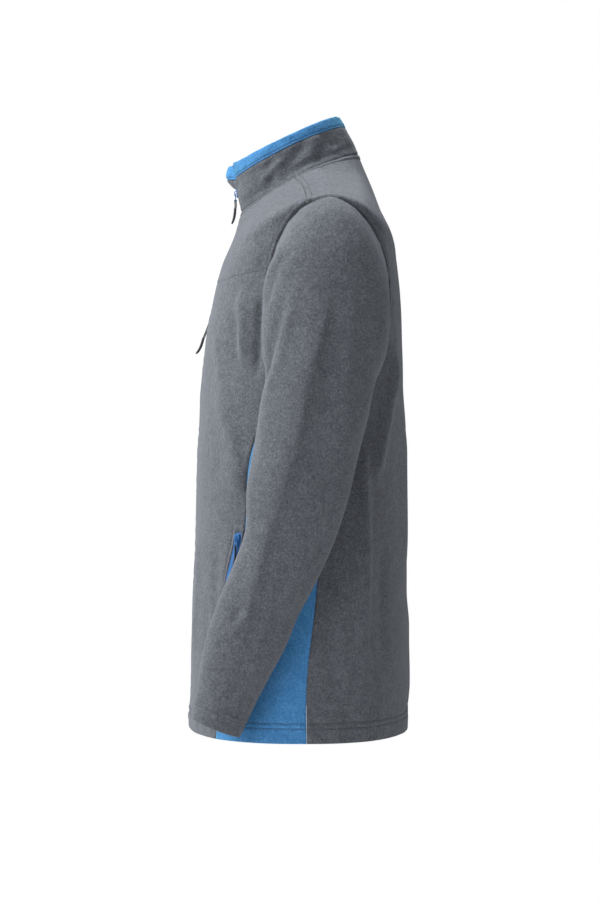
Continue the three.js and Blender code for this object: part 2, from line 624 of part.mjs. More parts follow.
// A closed three.js geometry as a solid that can be joined to another.
function solidOf(geometry) {
  const bare = geometry.clone();
  bare.deleteAttribute("normal");
  bare.deleteAttribute("uv");
  const merged = mergeVertices(bare.index ? bare.toNonIndexed() : bare, 1e-4);
  const vertProperties = merged.attributes.position.array;
  const triVerts = new Uint32Array(merged.index.array);
  return new wasm.Manifold(new wasm.Mesh({ numProp: 3, vertProperties, triVerts }));
}
function joined(first, second) {
  const mesh = solidOf(first).add(solidOf(second)).getMesh();
  const geometry = new THREE.BufferGeometry();
  geometry.setAttribute("position", new THREE.BufferAttribute(new Float32Array(mesh.vertProperties), 3));
  geometry.setIndex(new THREE.BufferAttribute(new Uint32Array(mesh.triVerts), 1));
  geometry.computeVertexNormals();
  return geometry;
}

const rectangle = (width, low, high) => {
  const shape = new THREE.Shape();
  shape.moveTo(-width / 2, low).lineTo(width / 2, low);
  shape.lineTo(width / 2, high).lineTo(-width / 2, high).closePath();
  return shape;
};

// Slider: a shield-shaped base with an arch along it. x is across the zip, y up it and z out of it.
function sliderGeometry() {
  const { width, length, base, archHalf, archWidth, archInner, archThick, archSunk } = SLIDER;
  const shield = new THREE.Shape();
  shield.moveTo(-width * 0.32, -length / 2).lineTo(width * 0.32, -length / 2);
  shield.lineTo(width / 2, length * 0.1).lineTo(width * 0.42, length / 2);
  shield.lineTo(-width * 0.42, length / 2).lineTo(-width / 2, length * 0.1).closePath();
  const plate = new THREE.ExtrudeGeometry(shield, { depth: base, bevelEnabled: false });
  const arch = new THREE.Shape();
  const high = archInner + archThick;
  arch.moveTo(-archHalf, -archSunk).lineTo(-archHalf, high);
  arch.lineTo(archHalf, high).lineTo(archHalf, -archSunk);
  arch.lineTo(archHalf - archThick, -archSunk).lineTo(archHalf - archThick, archInner);
  arch.lineTo(-archHalf + archThick, archInner).lineTo(-archHalf + archThick, -archSunk).closePath();
  const bridge = new THREE.ExtrudeGeometry(arch, { depth: archWidth, bevelEnabled: false });
  // The arch is drawn in x and y, so it is turned to stand along the zip.
  bridge.translate(0, 0, -archWidth / 2);
  const along = new THREE.Vector3(0, 1, 0);
  const outwards = new THREE.Vector3(0, 0, 1);
  const across = new THREE.Vector3(1, 0, 0);
  bridge.applyMatrix4(new THREE.Matrix4().makeBasis(along, outwards, across));
  bridge.translate(0, 0, base);
  return joined(plate, bridge);
}

// Pull tab: a flat plate whose top bar runs under the arch, hanging along -y from the bar's middle.
function tabGeometry() {
  const { bar, hole, holeWidth, width, length, thick, eye } = TAB;
  const outline = rectangle(width, -length, bar / 2);
  outline.holes.push(rectangle(holeWidth, -hole, -bar / 2));
  const ring = new THREE.Path();
  ring.absarc(0, -length + eye * 1.1, eye / 2, 0, 2 * Math.PI, true);
  outline.holes.push(ring);
  const plate = new THREE.ExtrudeGeometry(outline, { depth: thick, bevelEnabled: false, curveSegments: 8 });
  plate.translate(0, 0, -thick / 2);
  return plate;
}

// Moulded grip: rounded sections along a bent path, widest near its top and slim at its tip.
function gripGeometry(path, across) {
  const rings = GRIP_SECTIONS.map(([share, halfWidth, halfThick]) => {
    const middle = path.getPoint(share);
    const face = across.clone().cross(path.getTangent(share)).normalize();
    return spread(GRIP_SIDES, 0, 360).slice(0, -1).map((degrees) => middle.clone()
      .addScaledVector(across, halfWidth * Math.cos(degrees * DEGREE))
      .addScaledVector(face, halfThick * Math.sin(degrees * DEGREE)));
  });
  const points = [...rings.flat(), path.getPoint(0), path.getPoint(1)];
  const triangles = [];
  const at = (ring, side) => ring * GRIP_SIDES + (side % GRIP_SIDES);
  const last = rings.length - 1;
  for (let side = 0; side < GRIP_SIDES; side += 1) {
    for (let ring = 0; ring < last; ring += 1) {
      triangles.push(at(ring, side), at(ring + 1, side), at(ring + 1, side + 1));
      triangles.push(at(ring, side), at(ring + 1, side + 1), at(ring, side + 1));
    }
    triangles.push(points.length - 2, at(0, side), at(0, side + 1));
    triangles.push(points.length - 1, at(last, side + 1), at(last, side));
  }
  const geometry = new THREE.BufferGeometry();
  const flat = new Float32Array(points.flatMap((p) => [p.x, p.y, p.z]));
  geometry.setAttribute("position", new THREE.BufferAttribute(flat, 3));
  geometry.setIndex(triangles);
  geometry.computeVertexNormals();
  return geometry;
}

// One slider with its pull. seat is the zip's outer face there, and hang is the pull's path
// below the axle as [outwards, downwards]: the tab's end, the cord's end, the grip's bend and tip.
function zipPull(name, angle, level, out, hang) {
  const seat = bodyPoint([angle, level], out);
  const normal = bodyNormal(angle, level);
  const up = new THREE.Vector3(0, 0, 1);
  const across = up.clone().cross(normal).normalize();
  const along = normal.clone().cross(across);
  const slider = sliderGeometry();
  slider.applyMatrix4(new THREE.Matrix4().makeBasis(across, along, normal));
  slider.translate(...seat.clone().addScaledVector(normal, LAID_GAP).toArray());
  add("slider_" + name, slider, BLUE_ENAMEL);

  const axle = seat.clone().addScaledVector(normal, LAID_GAP + SLIDER.base + SLIDER.archInner / 2);
  const outwards = across.clone().cross(up);
  const place = ([away, down]) => axle.clone().addScaledVector(outwards, away).addScaledVector(up, -down);
  const [tabEnd, cordEnd, gripBend, gripTip] = hang.map(place);
  const tabUp = axle.clone().sub(tabEnd).normalize();
  const tab = tabGeometry();
  tab.applyMatrix4(new THREE.Matrix4().makeBasis(across, tabUp, across.clone().cross(tabUp)));
  tab.translate(...axle.toArray());
  // The pull swings out about the tab's bar. A positive turn about this axis lifts it.
  const hinge = { at: axle.toArray(), axis: across.clone().negate().toArray() };
  add("tab_" + name, tab, BLUE_ENAMEL).userData.hinge = hinge;

  const tabBottom = axle.clone().addScaledVector(tabUp, -TAB.length - SEAM_GAP);
  const cordMiddle = tabBottom.clone().lerp(cordEnd, 0.5).addScaledVector(outwards, -CORD.bow);
  const cordPath = new THREE.QuadraticBezierCurve3(tabBottom, cordMiddle, cordEnd);
  const circle = new THREE.Shape();
  circle.absarc(0, 0, CORD.radius, 0, 2 * Math.PI, false);
  const cord = new THREE.ExtrudeGeometry(circle, { steps: 6, curveSegments: 4, extrudePath: cordPath });
  add("cord_" + name, cord, DARK_CORD);

  const gripTop = cordEnd.clone().addScaledVector(cordPath.getTangent(1), SEAM_GAP);
  const gripPath = new THREE.QuadraticBezierCurve3(gripTop, gripBend, gripTip);
  add("grip_" + name, gripGeometry(gripPath, across), DARK_RUBBER);
}

const pocketOut = POCKET_ZIP_THICK + LAID_GAP;
zipPull("main", 0, SLIDER_LEVEL, -TAPE_SUNK, MAIN_HANG);
const chestLevel = CHEST_ZIP_TOP - SLIDER_BELOW_END;
zipPull("chest", -chestLine(0, chestLevel), chestLevel, pocketOut, CHEST_HANG);
const handLevel = HAND_ZIP_TOP - SLIDER_BELOW_END;
zipPull("hand_left", handLine(0, handLevel), handLevel, pocketOut, HAND_HANG);
zipPull("hand_right", -handLine(0, handLevel), handLevel, pocketOut, HAND_HANG);

export default jacket;
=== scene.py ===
import math
import bmesh
import bpy
import numpy as np
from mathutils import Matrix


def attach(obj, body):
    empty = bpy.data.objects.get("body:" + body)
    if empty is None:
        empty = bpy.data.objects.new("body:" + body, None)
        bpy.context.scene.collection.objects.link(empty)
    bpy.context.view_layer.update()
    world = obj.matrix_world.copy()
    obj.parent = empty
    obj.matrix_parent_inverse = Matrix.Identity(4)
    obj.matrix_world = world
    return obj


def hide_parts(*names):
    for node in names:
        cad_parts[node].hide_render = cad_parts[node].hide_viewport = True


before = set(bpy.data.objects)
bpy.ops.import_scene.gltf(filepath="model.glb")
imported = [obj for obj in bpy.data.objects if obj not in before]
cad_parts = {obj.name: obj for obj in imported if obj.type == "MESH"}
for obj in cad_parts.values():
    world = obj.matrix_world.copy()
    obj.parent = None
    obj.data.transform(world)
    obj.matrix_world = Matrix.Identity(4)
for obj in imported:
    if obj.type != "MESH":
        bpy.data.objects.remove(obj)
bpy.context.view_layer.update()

# Camera, light and floor.
# The camera stands 3 m to the wearer's left, level with the jacket's middle, and sees it in true
# side view. The light is soft, from above and in front, and the floor is plain and pale.
camera_data = bpy.data.cameras.new("camera")
camera_data.sensor_fit = "VERTICAL"
camera_data.sensor_height = 36
camera_data.lens = 93.75
camera = bpy.data.objects.new("camera", camera_data)
camera.location = (3.0, 0.0, -0.34)
camera.rotation_euler = (math.radians(90), 0, math.radians(90))
bpy.context.collection.objects.link(camera)
bpy.context.scene.camera = camera
bpy.context.scene.view_settings.view_transform = "Standard"


def soft_light(name, place, aim, size, power):
    """A square area light at a place, turned to face its aim."""
    data = bpy.data.lights.new(name, "AREA")
    data.size = size
    data.energy = power
    light = bpy.data.objects.new(name, data)
    light.location = place
    way = np.array(aim, float) - np.array(place, float)
    flat = math.hypot(way[0], way[1])
    light.rotation_euler = (math.atan2(flat, -way[2]), 0, math.atan2(-way[0], way[1]))
    bpy.context.collection.objects.link(light)


soft_light("key_light", (0.5, -2.3, 2.3), (0.1, 0, -0.3), 1.0, 108)
soft_light("top_light", (-0.1, -0.5, 2.2), (0, 0, -0.2), 1.2, 46)
soft_light("side_light", (2.9, -1.5, 0.6), (0, 0, -0.3), 1.6, 31)
soft_light("back_light", (-1.4, 2.4, 1.2), (0, 0, -0.3), 1.8, 14)

world = bpy.data.worlds.new("studio")
world.use_nodes = True
bpy.context.scene.world = world
sky = world.node_tree.nodes
sky["Background"].inputs["Strength"].default_value = 0.2
seen_sky = sky.new("ShaderNodeBackground")
seen_sky.inputs["Strength"].default_value = 1.0
seen_sky.inputs["Color"].default_value = (1, 1, 1, 1)
sky["Background"].inputs["Color"].default_value = (1, 1, 1, 1)
ray = sky.new("ShaderNodeLightPath")
either = sky.new("ShaderNodeMixShader")
world.node_tree.links.new(ray.outputs["Is Camera Ray"], either.inputs[0])
world.node_tree.links.new(sky["Background"].outputs[0], either.inputs[1])
world.node_tree.links.new(seen_sky.outputs[0], either.inputs[2])
world.node_tree.links.new(either.outputs[0], sky["World Output"].inputs[0])

FLOOR_LEVEL = -0.95
turns = np.linspace(0, 2 * np.pi, 96, endpoint=False)
rim = np.stack([9 * np.cos(turns), 9 * np.sin(turns), np.full(96, FLOOR_LEVEL)], axis=1)
floor_mesh = bpy.data.meshes.new("floor")
floor_mesh.from_pydata(rim.tolist(), [], [list(range(96))])
floor = bpy.data.objects.new("floor", floor_mesh)
bpy.context.collection.objects.link(floor)
floor_finish = bpy.data.materials.new("pale_floor")
floor_finish.use_nodes = True
floor_shader = floor_finish.node_tree.nodes["Principled BSDF"]
floor_shader.inputs["Base Color"].default_value = (0.8, 0.8, 0.8, 1)
floor_shader.inputs["Roughness"].default_value = 0.9
floor_shader.inputs["Specular IOR Level"].default_value = 0.1
floor_nodes = floor_finish.node_tree.nodes
floor_link = floor_finish.node_tree.links.new
floor_ray = floor_nodes.new("ShaderNodeLightPath")
bright = floor_nodes.new("ShaderNodeEmission")
bright.inputs["Strength"].default_value = 1.0
floor_mix = floor_nodes.new("ShaderNodeMixShader")
floor_link(floor_ray.outputs["Is Camera Ray"], floor_mix.inputs[0])
floor_link(floor_shader.outputs[0], floor_mix.inputs[1])
floor_link(bright.outputs[0], floor_mix.inputs[2])
floor_link(floor_mix.outputs[0], floor_nodes["Material Output"].inputs[0])
floor_mesh.materials.append(floor_finish)

# Front panels.
# Two pieces of brushed grey fleece, hem to yoke seam, cut from one thick knit with a soft pile.
# Each is sewn to its yoke, side panel and sleeve, and hemmed with two rows of stitching.
WALL = 2.5
SEAM_GAP = 0.3
HEM_LEVEL = -690
YOKE_LEVEL = -127
NECK_LEVEL = -36
COLLAR_TOP_LEVEL = 24
SLIDER_LEVEL = -12
TAPE_SHOWS = 6
COLLAR_SPREAD = 15
COLLAR_BULGE = 19
COLLAR_LEAN = 9

# Rings round the body and collar: level at the centre front, half width, front y, side y and z,
# back y and z, how square the front and the back are, and how the ring drops from its side.
RINGS = np.array([
    [-690, 212, -141, 0, -690, 137, -690, 2.3, 2.5, 2],
    [-625, 207, -139, 0, -625, 136.8, -625, 2.3, 2.5, 2],
    [-567, 203, -138, 0, -567, 136.5, -567, 2.3, 2.5, 2],
    [-479, 199, -134.5, 2, -479, 136, -479, 2.3, 2.5, 2],
    [-424, 198, -133, 4, -424, 135, -424, 2.3, 2.5, 2],
    [-339, 198, -130, 10, -340, 134, -340, 2.3, 2.6, 2],
    [-254, 199, -125, 20, -262, 131, -262, 2.3, 2.8, 2],
    [-208, 205, -121, 28, -195, 129.5, -213, 2.3, 3.0, 2],
    [-158, 213, -113, 33, -120, 127, -160, 2.3, 3.2, 2],
    [-121, 219, -103, 35, -62, 121, -104, 2.3, 3.3, 2],
    [-105, 222, -98, 36, -39, 116.7, -78, 2.2, 3.3, 1.9],
    [-95, 205, -94, 34, -32, 110, -60, 2.2, 3.2, 1.8],
    [-80, 170, -88, 29, -20, 101, -36, 2.2, 3.0, 1.6],
    [-62, 130, -82, 22, -8, 92, -10, 2.1, 2.7, 1.4],
    [-47, 100, -78, 15, 1, 84, 12, 2.1, 2.4, 1.2],
    [-36, 75, -75, 8, 10, 74.5, 37, 2.1, 2.2, 1],
    [-20, 71, -79, 2, 24, 69, 51, 2.1, 2.2, 1],
    [2, 68, -82, -4, 41, 60, 68, 2.1, 2.2, 1],
    [24, 66, -83, -9, 57, 50, 85, 2.1, 2.2, 1],
], float)


def row_at(table, key):
    """Rows of a table at any keys, on a smooth cubic through its rows. A row's slope is the mean
    of the steps beside it, each weighted by the length of the other."""
    step = np.diff(table[:, 0])[:, None]
    slope = np.diff(table, axis=0) / step
    inner = (slope[1:] * step[:-1] + slope[:-1] * step[1:]) / (step[1:] + step[:-1])
    tangent = np.vstack([slope[:1], inner, slope[-1:]])
    key = np.asarray(key, float)
    i = np.clip(np.searchsorted(table[:, 0], key, side="left") - 1, 0, len(table) - 2)
    t = ((key - table[i, 0]) / step[i, 0])[..., None]
    return (table[i] * (2 * t**3 - 3 * t**2 + 1) + table[i + 1] * (3 * t**2 - 2 * t**3)
            + step[i] * tangent[i] * (t**3 - 2 * t**2 + t) + step[i] * tangent[i + 1] * (t**3 - t**2))


def smooth(t):
    """0 below 0, 1 above 1, and 3t2 - 2t3 between."""
    c = np.clip(t, 0, 1)
    return c * c * (3 - 2 * c)


def oval(angle, square):
    """Cosine and sine stretched onto the curve where their powers add up to one."""
    c = np.cos(angle)
    s = np.sin(angle)
    size = (np.abs(c) ** square + np.abs(s) ** square) ** (-1 / square)
    return c * size, s * size


def wrapped(angle):
    """The same angle between minus and plus half a turn."""
    return angle - 2 * np.pi * np.round(angle / (2 * np.pi))


def above_slider(level):
    """Share of the height from the slider to the collar's top."""
    return np.clip((level - SLIDER_LEVEL) / (COLLAR_TOP_LEVEL - SLIDER_LEVEL), 0, 1)


def zip_opening(level):
    """Half the main zip's opening: none up to the slider, then growing as the height to 1.2."""
    return COLLAR_SPREAD * above_slider(level) ** 1.2


def front_edge_angle(level):
    """The angle of the fleece's front edge: the opening and the tape's width over the half width."""
    return np.arctan((zip_opening(level) + TAPE_SHOWS) / row_at(RINGS, level)[..., 1])


def collar_forward(angle, level):
    """How far the open collar fronts stand forward in mm: the right one bulges beside its edge,
    most two thirds of the way up, and the left one leans forward at its top."""
    above = above_slider(level)
    rise = smooth((-angle - 0.8 * front_edge_angle(level)) / math.radians(14))
    fade = smooth((math.radians(55) + angle) / math.radians(35))
    bulge = COLLAR_BULGE * np.sin(2 / 3 * np.pi * above) * smooth(above * 4) * rise * fade
    lean = COLLAR_LEAN * above**3 * smooth(1 - angle / math.radians(40))
    return np.where(angle > 0, lean, bulge)


def body_face(angle, level):
    """The body's smooth face in mm: an oval ring at each level, from side to front or back, its
    height bent from the side's to the middle's, and the open collar fronts moved forward."""
    angle, level = np.broadcast_arrays(np.asarray(angle, float), np.asarray(level, float))
    ring = row_at(RINGS, level)
    front = np.cos(angle) > 0
    c, s = oval(angle, np.where(front, ring[..., 7], ring[..., 8]))
    reach = np.abs(c)
    y = ring[..., 3] + (np.where(front, ring[..., 2], ring[..., 5]) - ring[..., 3]) * reach
    middle = np.where(front, level, ring[..., 6])
    z = ring[..., 4] + (middle - ring[..., 4]) * reach ** ring[..., 9]
    y = y - np.where(front, collar_forward(wrapped(angle), level), 0)
    return np.stack([ring[..., 1] * s, y, z], axis=-1)


def normal_of(face, a, b, step_a, step_b):
    """Unit normal of a face of two parameters: the cross product of its two small steps."""
    along_a = face(a + step_a, b) - face(a - step_a, b)
    along_b = face(a, b + step_b) - face(a, b - step_b)
    normal = np.cross(along_a, along_b)
    return normal / np.linalg.norm(normal, axis=-1, keepdims=True)


def found_from_side(face, places, angle, level, lowest, highest):
    """The two parameters of a face at [y, z] seen from the side, by short steps towards where the
    face has that y and z."""
    for _ in range(40):
        here = face(angle, level)
        da = (face(angle + 0.001, level) - here) / 0.001
        dl = (face(angle, level + 0.05) - here) / 0.05
        miss = places - here[:, 1:]
        area = da[:, 1] * dl[:, 2] - dl[:, 1] * da[:, 2]
        step_a = (miss[:, 0] * dl[:, 2] - dl[:, 1] * miss[:, 1]) / area
        step_l = (da[:, 1] * miss[:, 1] - da[:, 2] * miss[:, 0]) / area
        angle = angle + np.clip(step_a, -0.15, 0.15)
        level = np.clip(level + np.clip(step_l, -20, 20), lowest, highest)
    return np.stack([angle, level], axis=1)


def seen_from_side(places, turn=90, start=-110, highest=NECK_LEVEL):
    """Angle and level of the left half of the body at [y, z] seen from the side, from a first
    angle in degrees and a highest first level."""
    places = np.asarray(places, float)
    angle = np.full(len(places), math.radians(turn))
    level = np.clip(places[:, 1] - 20, HEM_LEVEL, start)
    return found_from_side(body_face, places, angle, level, HEM_LEVEL, highest)


ARC = 170  # mm round the body for a radian, to lay folds out flat

# Folds of the body seen from the side, top to bottom: width ahead of the path and behind it,
# height (negative for a trough) and [y, z] path.
LEFT_FOLDS = [
    (20, 11, 6.5, [[-101, -226], [-84, -309], [-74, -359], [-67, -408]]),
    (8, 8, 3.4, [[-72, -140], [-71, -180], [-68, -240]]),
    (6, 7, -5.0, [[-47, -150], [-50, -200], [-52, -262]]),
    (12, 7, 2.2, [[-103, -192], [-101, -226], [-93, -266]]),
    (16, 9, -3.0, [[-76, -175], [-80, -210], [-76, -262]]),
    (9, 12, 2.6, [[-66, -150], [-68, -196], [-66, -244]]),
    (13, 10, 6, [[118, -176], [114, -237], [106, -299], [96, -349], [86, -400]]),
    (11, 8, 6.0, [[80, -319], [76, -360], [79, -419], [80, -469], [77, -560], [76, -668]]),
    (13, 12, -4.2, [[30, -500], [34, -540], [38, -600], [40, -668]]),
    (10, 8, -3.4, [[100, -440], [99, -520], [104, -640]]),
    (9, 9, -2.4, [[42, -536], [34, -556], [26, -568]]),
    (9, 12, -3.4, [[64, -652], [58, -674], [52, -692]]),
    (14, 10, 2.4, [[96, -600], [94, -650], [92, -692]]),
    (10, 7, 2.8, [[22, 15], [30, -8], [39, -36]]),
    (10, 12, -1.6, [[-2, -2], [10, -24], [20, -44]]),
    (7, 7, -2.2, [[-53, -112], [-44, -122], [-36, -131]]),
    (16, 10, 2.2, [[-86, -430], [-88, -500], [-96, -600]]),
    (8, 10, -2.0, [[-100, -440], [-104, -540], [-112, -650]]),
]
RIGHT_FOLDS = [
    (24, 12, 5.2, [[-99, -236], [-86, -318], [-72, -372], [-62, -430]]),
    (13, 8, -2.6, [[-80, -190], [-82, -230], [-78, -290]]),
    (12, 10, 4.6, [[116, -190], [110, -250], [104, -318], [92, -372]]),
    (12, 10, 4.2, [[84, -330], [79, -392], [76, -455], [80, -540], [82, -640]]),
    (10, 9, -3.2, [[102, -390], [100, -500], [106, -600]]),
    (9, 9, -2.6, [[46, -600], [38, -622], [30, -640]]),
    (9, 11, 2.2, [[-72, -150], [-68, -196], [-70, -250]]),
    (9, 8, 2.4, [[20, 15], [28, -10], [38, -35]]),
    (7, 8, -2.0, [[-52, -108], [-44, -120], [-34, -134]]),
    (14, 10, 2.2, [[-84, -450], [-90, -540], [-100, -640]]),
]
# Folds of the back and the front seen square on, as [angle in degrees, level].
BACK_FOLDS = [
    (20, 13, 3.6, [[150, -250], [158, -340], [160, -430], [155, -520]]),
    (13, 20, 3.2, [[213, -280], [206, -360], [203, -470]]),
    (14, 11, -3.2, [[168, -300], [172, -420], [174, -560]]),
    (11, 15, -2.8, [[194, -340], [190, -480], [192, -640]]),
    (18, 12, 3.4, [[182, -520], [181, -600], [183, -692]]),
    (14, 9, 2.8, [[128, -180], [138, -230], [146, -290]]),
    (9, 14, 2.8, [[231, -190], [222, -236], [215, -300]]),
    (13, 10, -2.2, [[132, -116], [148, -118], [164, -125]]),
    (13, 10, -2.2, [[228, -118], [212, -122], [198, -126]]),
    (15, 12, 2.6, [[22, -430], [24, -520], [20, -620]]),
    (13, 15, 2.6, [[-26, -400], [-22, -500], [-25, -610]]),
    (10, 10, -2.0, [[36, -500], [38, -590], [42, -692]]),
    (10, 10, -2.0, [[-34, -520], [-38, -620], [-36, -692]]),
]


def flat_fold(ahead, behind, height, places, arc, mirrored=False):
    """A fold laid out flat: its path with angles as mm round the piece. On a mirrored half the two
    sides of the path change places."""
    path = np.asarray(places, float) * [-arc if mirrored else arc, 1]
    return (behind, ahead, height, path) if mirrored else (ahead, behind, height, path)


body_folds = [flat_fold(*fold[:3], seen_from_side(fold[3]), ARC) for fold in LEFT_FOLDS]
body_folds += [flat_fold(*fold[:3], seen_from_side(fold[3]), ARC, True) for fold in RIGHT_FOLDS]
body_folds += [flat_fold(*fold[:3], np.array(fold[3], float) * [math.radians(1), 1], ARC)
               for fold in BACK_FOLDS]


def fold_height(folds, across, along, turn=None):
    """Height of all folds at flat places: each is a bell across its path, of one width on the side
    of smaller angles and another on the other side, faded at both ends. Where the flat map joins
    itself, a place is tried a whole turn away too."""
    height = np.zeros(np.shape(across))
    for low_width, high_width, rise, path in folds:
        best = np.full(height.shape, 1e9)
        share = np.zeros(height.shape)
        side = np.zeros(height.shape)
        shifts = (0.0,) if turn is None else (0.0, turn, -turn)
        for shift in shifts:
            for i in range(len(path) - 1):
                ax, ay = path[i] + [shift, 0]
                bx, by = path[i + 1] + [shift, 0]
                long = (bx - ax) ** 2 + (by - ay) ** 2
                t = np.clip(((across - ax) * (bx - ax) + (along - ay) * (by - ay)) / long, 0, 1)
                away = np.hypot(across - ax - t * (bx - ax), along - ay - t * (by - ay))
                closer = away < best
                best = np.where(closer, away, best)
                share = np.where(closer, (i + t) / (len(path) - 1), share)
                side = np.where(closer, (across - ax) * (ay - by) - (along - ay) * (ax - bx), side)
        side = side * np.sign(path[0, 1] - path[-1, 1])
        ends = smooth(share * 3.5) * smooth((1 - share) * 3.5)
        blend = 0.5 + 0.5 * np.tanh(side / np.hypot(*(path[-1] - path[0])) * (len(path) - 1) / 2.5)
        width = low_width + (high_width - low_width) * blend
        height += rise * ends * np.exp(-((best / width) ** 2))
    return height


def swell(points, seed, longest, shortest, count=10):
    """Uneven swelling between about -1 and 1: seeded plane waves through space, of mixed lengths
    in mm and mixed ways."""
    dice = np.random.default_rng(seed)
    total = np.zeros(points.shape[:-1])
    for _ in range(count):
        way = dice.normal(size=3)
        length = longest * (shortest / longest) ** dice.random()
        way *= 2 * np.pi / length / np.linalg.norm(way)
        total += np.sin(points @ way + dice.random() * 2 * np.pi)
    return total * 1.2 / math.sqrt(count)


def body_height(angle, level, face):
    """Folds and slow swelling of the worn cloth, in mm above the smooth face."""
    height = fold_height(body_folds, wrapped(angle) * ARC, level, 2 * np.pi * ARC)
    return height + 0.5 * swell(face, 4, 150, 50) * smooth((NECK_LEVEL - level) / 30)


def body_point(angle, level, out=0):
    """A point on the worn body, moved out along the smooth face's normal."""
    face = body_face(angle, level)
    normal = normal_of(body_face, angle, level, 0.01, 2)
    height = body_height(angle, level, face) + out
    return face + normal * np.asarray(height)[..., None]


EDGE_ROWS = np.array([0, 0.35, 0.8, 1.4, 2.1, 2.9, 3.8, 4.8, 5.7, 6.4, 7.0, 7.6, 8.4, 9.6, 11.4])
HEM_ROWS = np.array([0, 0.3, 0.7, 1.2, 2, 3.2, 5, 7.5, 10, 12.5, 14.8, 16.4, 17.3, 18, 18.7, 19.7,
                     21, 22.3, 23.3, 24, 24.7, 25.8, 27.6])
PLAIN_ROWS = np.array([0.0])
POCKET_ROWS = np.concatenate([EDGE_ROWS, np.arange(12.6, 27, 1.25)])


def crowded(length, step, start=EDGE_ROWS, end=EDGE_ROWS):
    """Shares of a length in mm: the given distances from each end, and even steps between them."""
    low = start[start < length * 0.45]
    high = end[end < length * 0.45]
    inside = length - low[-1] - high[-1]
    even = np.linspace(low[-1], length - high[-1], max(2, int(round(inside / step))) + 1)
    return np.concatenate([low[:-1], even, (length - high[:-1])[::-1]]) / length


def on_front_edge(levels):
    """The fleece's front edge at these levels, as [angle, level]."""
    return np.stack([front_edge_angle(levels), levels], axis=1)


ARMHOLE_MIDDLE = (36, -153.5)
ARMHOLE_HALF = (72, 114.5)
ARMHOLE_PEAK = 13
SHOULDER_SEAM = 24
YOKE_SEAM = 76
FRONT_SEAM = 150
BACK_SEAM = 195


def armhole(degrees):
    """The armhole seam as [angle, level]: a rounded oval seen from the side, from its top over
    the front to the underarm and up the back, slimmer at its upper back, and its top drawn down on
    both sides to a low peak."""
    angle = np.radians(degrees)
    upper_back = (np.sin(angle) < 0) & (np.cos(angle) > 0)
    c, s = oval(angle, np.where(upper_back, 1.95, 2.2))
    down = np.where(c > 0, ARMHOLE_PEAK * np.abs(s) * (1 - np.abs(s)), 0)
    y = ARMHOLE_MIDDLE[0] - ARMHOLE_HALF[0] * s
    z = ARMHOLE_MIDDLE[1] + ARMHOLE_HALF[1] * c - down
    return seen_from_side(np.stack([y, z], axis=1))


def seam_below_armhole(points, degrees):
    """A seam from the hem up to the armhole, as a function from levels to angles."""
    places = np.vstack([seen_from_side(points), armhole(np.array([float(degrees)]))])
    table = places[:, ::-1]
    return table[-1, 0], lambda levels: row_at(table, levels)[:, 1]


front_seam_top, front_seam_angle = seam_below_armhole(
    [[-102, -690], [-90, -569], [-78, -497], [-68, -448], [-65, -412], [-54, -328]], FRONT_SEAM)
back_seam_top, back_seam_angle = seam_below_armhole(
    [[8, -690], [8, -624], [17.5, -533], [25, -460], [35, -380], [45, -310]], BACK_SEAM)


CHEST_ZIP_X = 66
CHEST_ZIP_TOP = -155
CHEST_ZIP_LENGTH = 130
HAND_ZIP_TOP = -440
HAND_ZIP_LENGTH = 165
HAND_ZIP_FROM_SEAM = 8
POCKET_STITCH = 11.5


def chest_line(offset, level):
    """The angle where the face is the chest zip's distance from the middle, plus an offset in mm,
    by halving."""
    offset, level = np.broadcast_arrays(np.asarray(offset, float), np.asarray(level, float))
    low = np.zeros(level.shape)
    high = np.full(level.shape, math.radians(85))
    for _ in range(30):
        middle = (low + high) / 2
        inside = body_face(middle, level)[..., 0] < CHEST_ZIP_X + offset
        low = np.where(inside, middle, low)
        high = np.where(inside, high, middle)
    return low


def hand_line(offset, level):
    """The angle of the side panel's front seam, moved along the face towards the front."""
    offset, level = np.broadcast_arrays(np.asarray(offset, float), np.asarray(level, float))
    angle = front_seam_angle(level.ravel()).reshape(level.shape)
    arc = np.linalg.norm(body_face(angle, level) - body_face(angle - 0.01, level), axis=-1) / 0.01
    return angle - (HAND_ZIP_FROM_SEAM - offset) / arc


def nearest(points, line):
    """Distance in mm from each point to a line of points: the nearest of the line's points is
    found first, then the nearest place on its two pieces beside it."""
    flat = points.reshape(-1, 3)
    pick = np.empty(len(flat), int)
    size = (line ** 2).sum(axis=1)
    for start in range(0, len(flat), 4000):
        part = flat[start:start + 4000]
        pick[start:start + 4000] = np.argmin(size[None] - 2 * part @ line.T, axis=1)
    best = np.full(len(flat), 1e9)
    for back in (1, 0):
        i = np.clip(pick - back, 0, len(line) - 2)
        a = line[i]
        b = line[i + 1] - a
        t = np.clip(((flat - a) * b).sum(axis=1) / (b ** 2).sum(axis=1), 0, 1)
        best = np.minimum(best, np.linalg.norm(flat - a - t[:, None] * b, axis=1))
    return best.reshape(points.shape[:-1])


def bell(x, width):
    """1 at the middle, falling away as the bell of its width."""
    return np.exp(-((x / width) ** 2))


def seam_height(face, line, rows, seed, puff=0.7, depth=1.0):
    """How a seam draws the fleece: a groove at the seam, a puffed band beside it, a furrow under
    each row of stitching, and small uneven puckers that die out 9 mm away."""
    away = nearest(face, line)
    height = -depth * bell(away, 1.0) + puff * bell(away - 4.2, 2.3)
    for row in rows:
        height = height - 0.6 * depth * bell(away - row, 0.75)
    return height + 0.3 * swell(face, seed, 26, 9) * bell(away, 8) * smooth(away / 3)


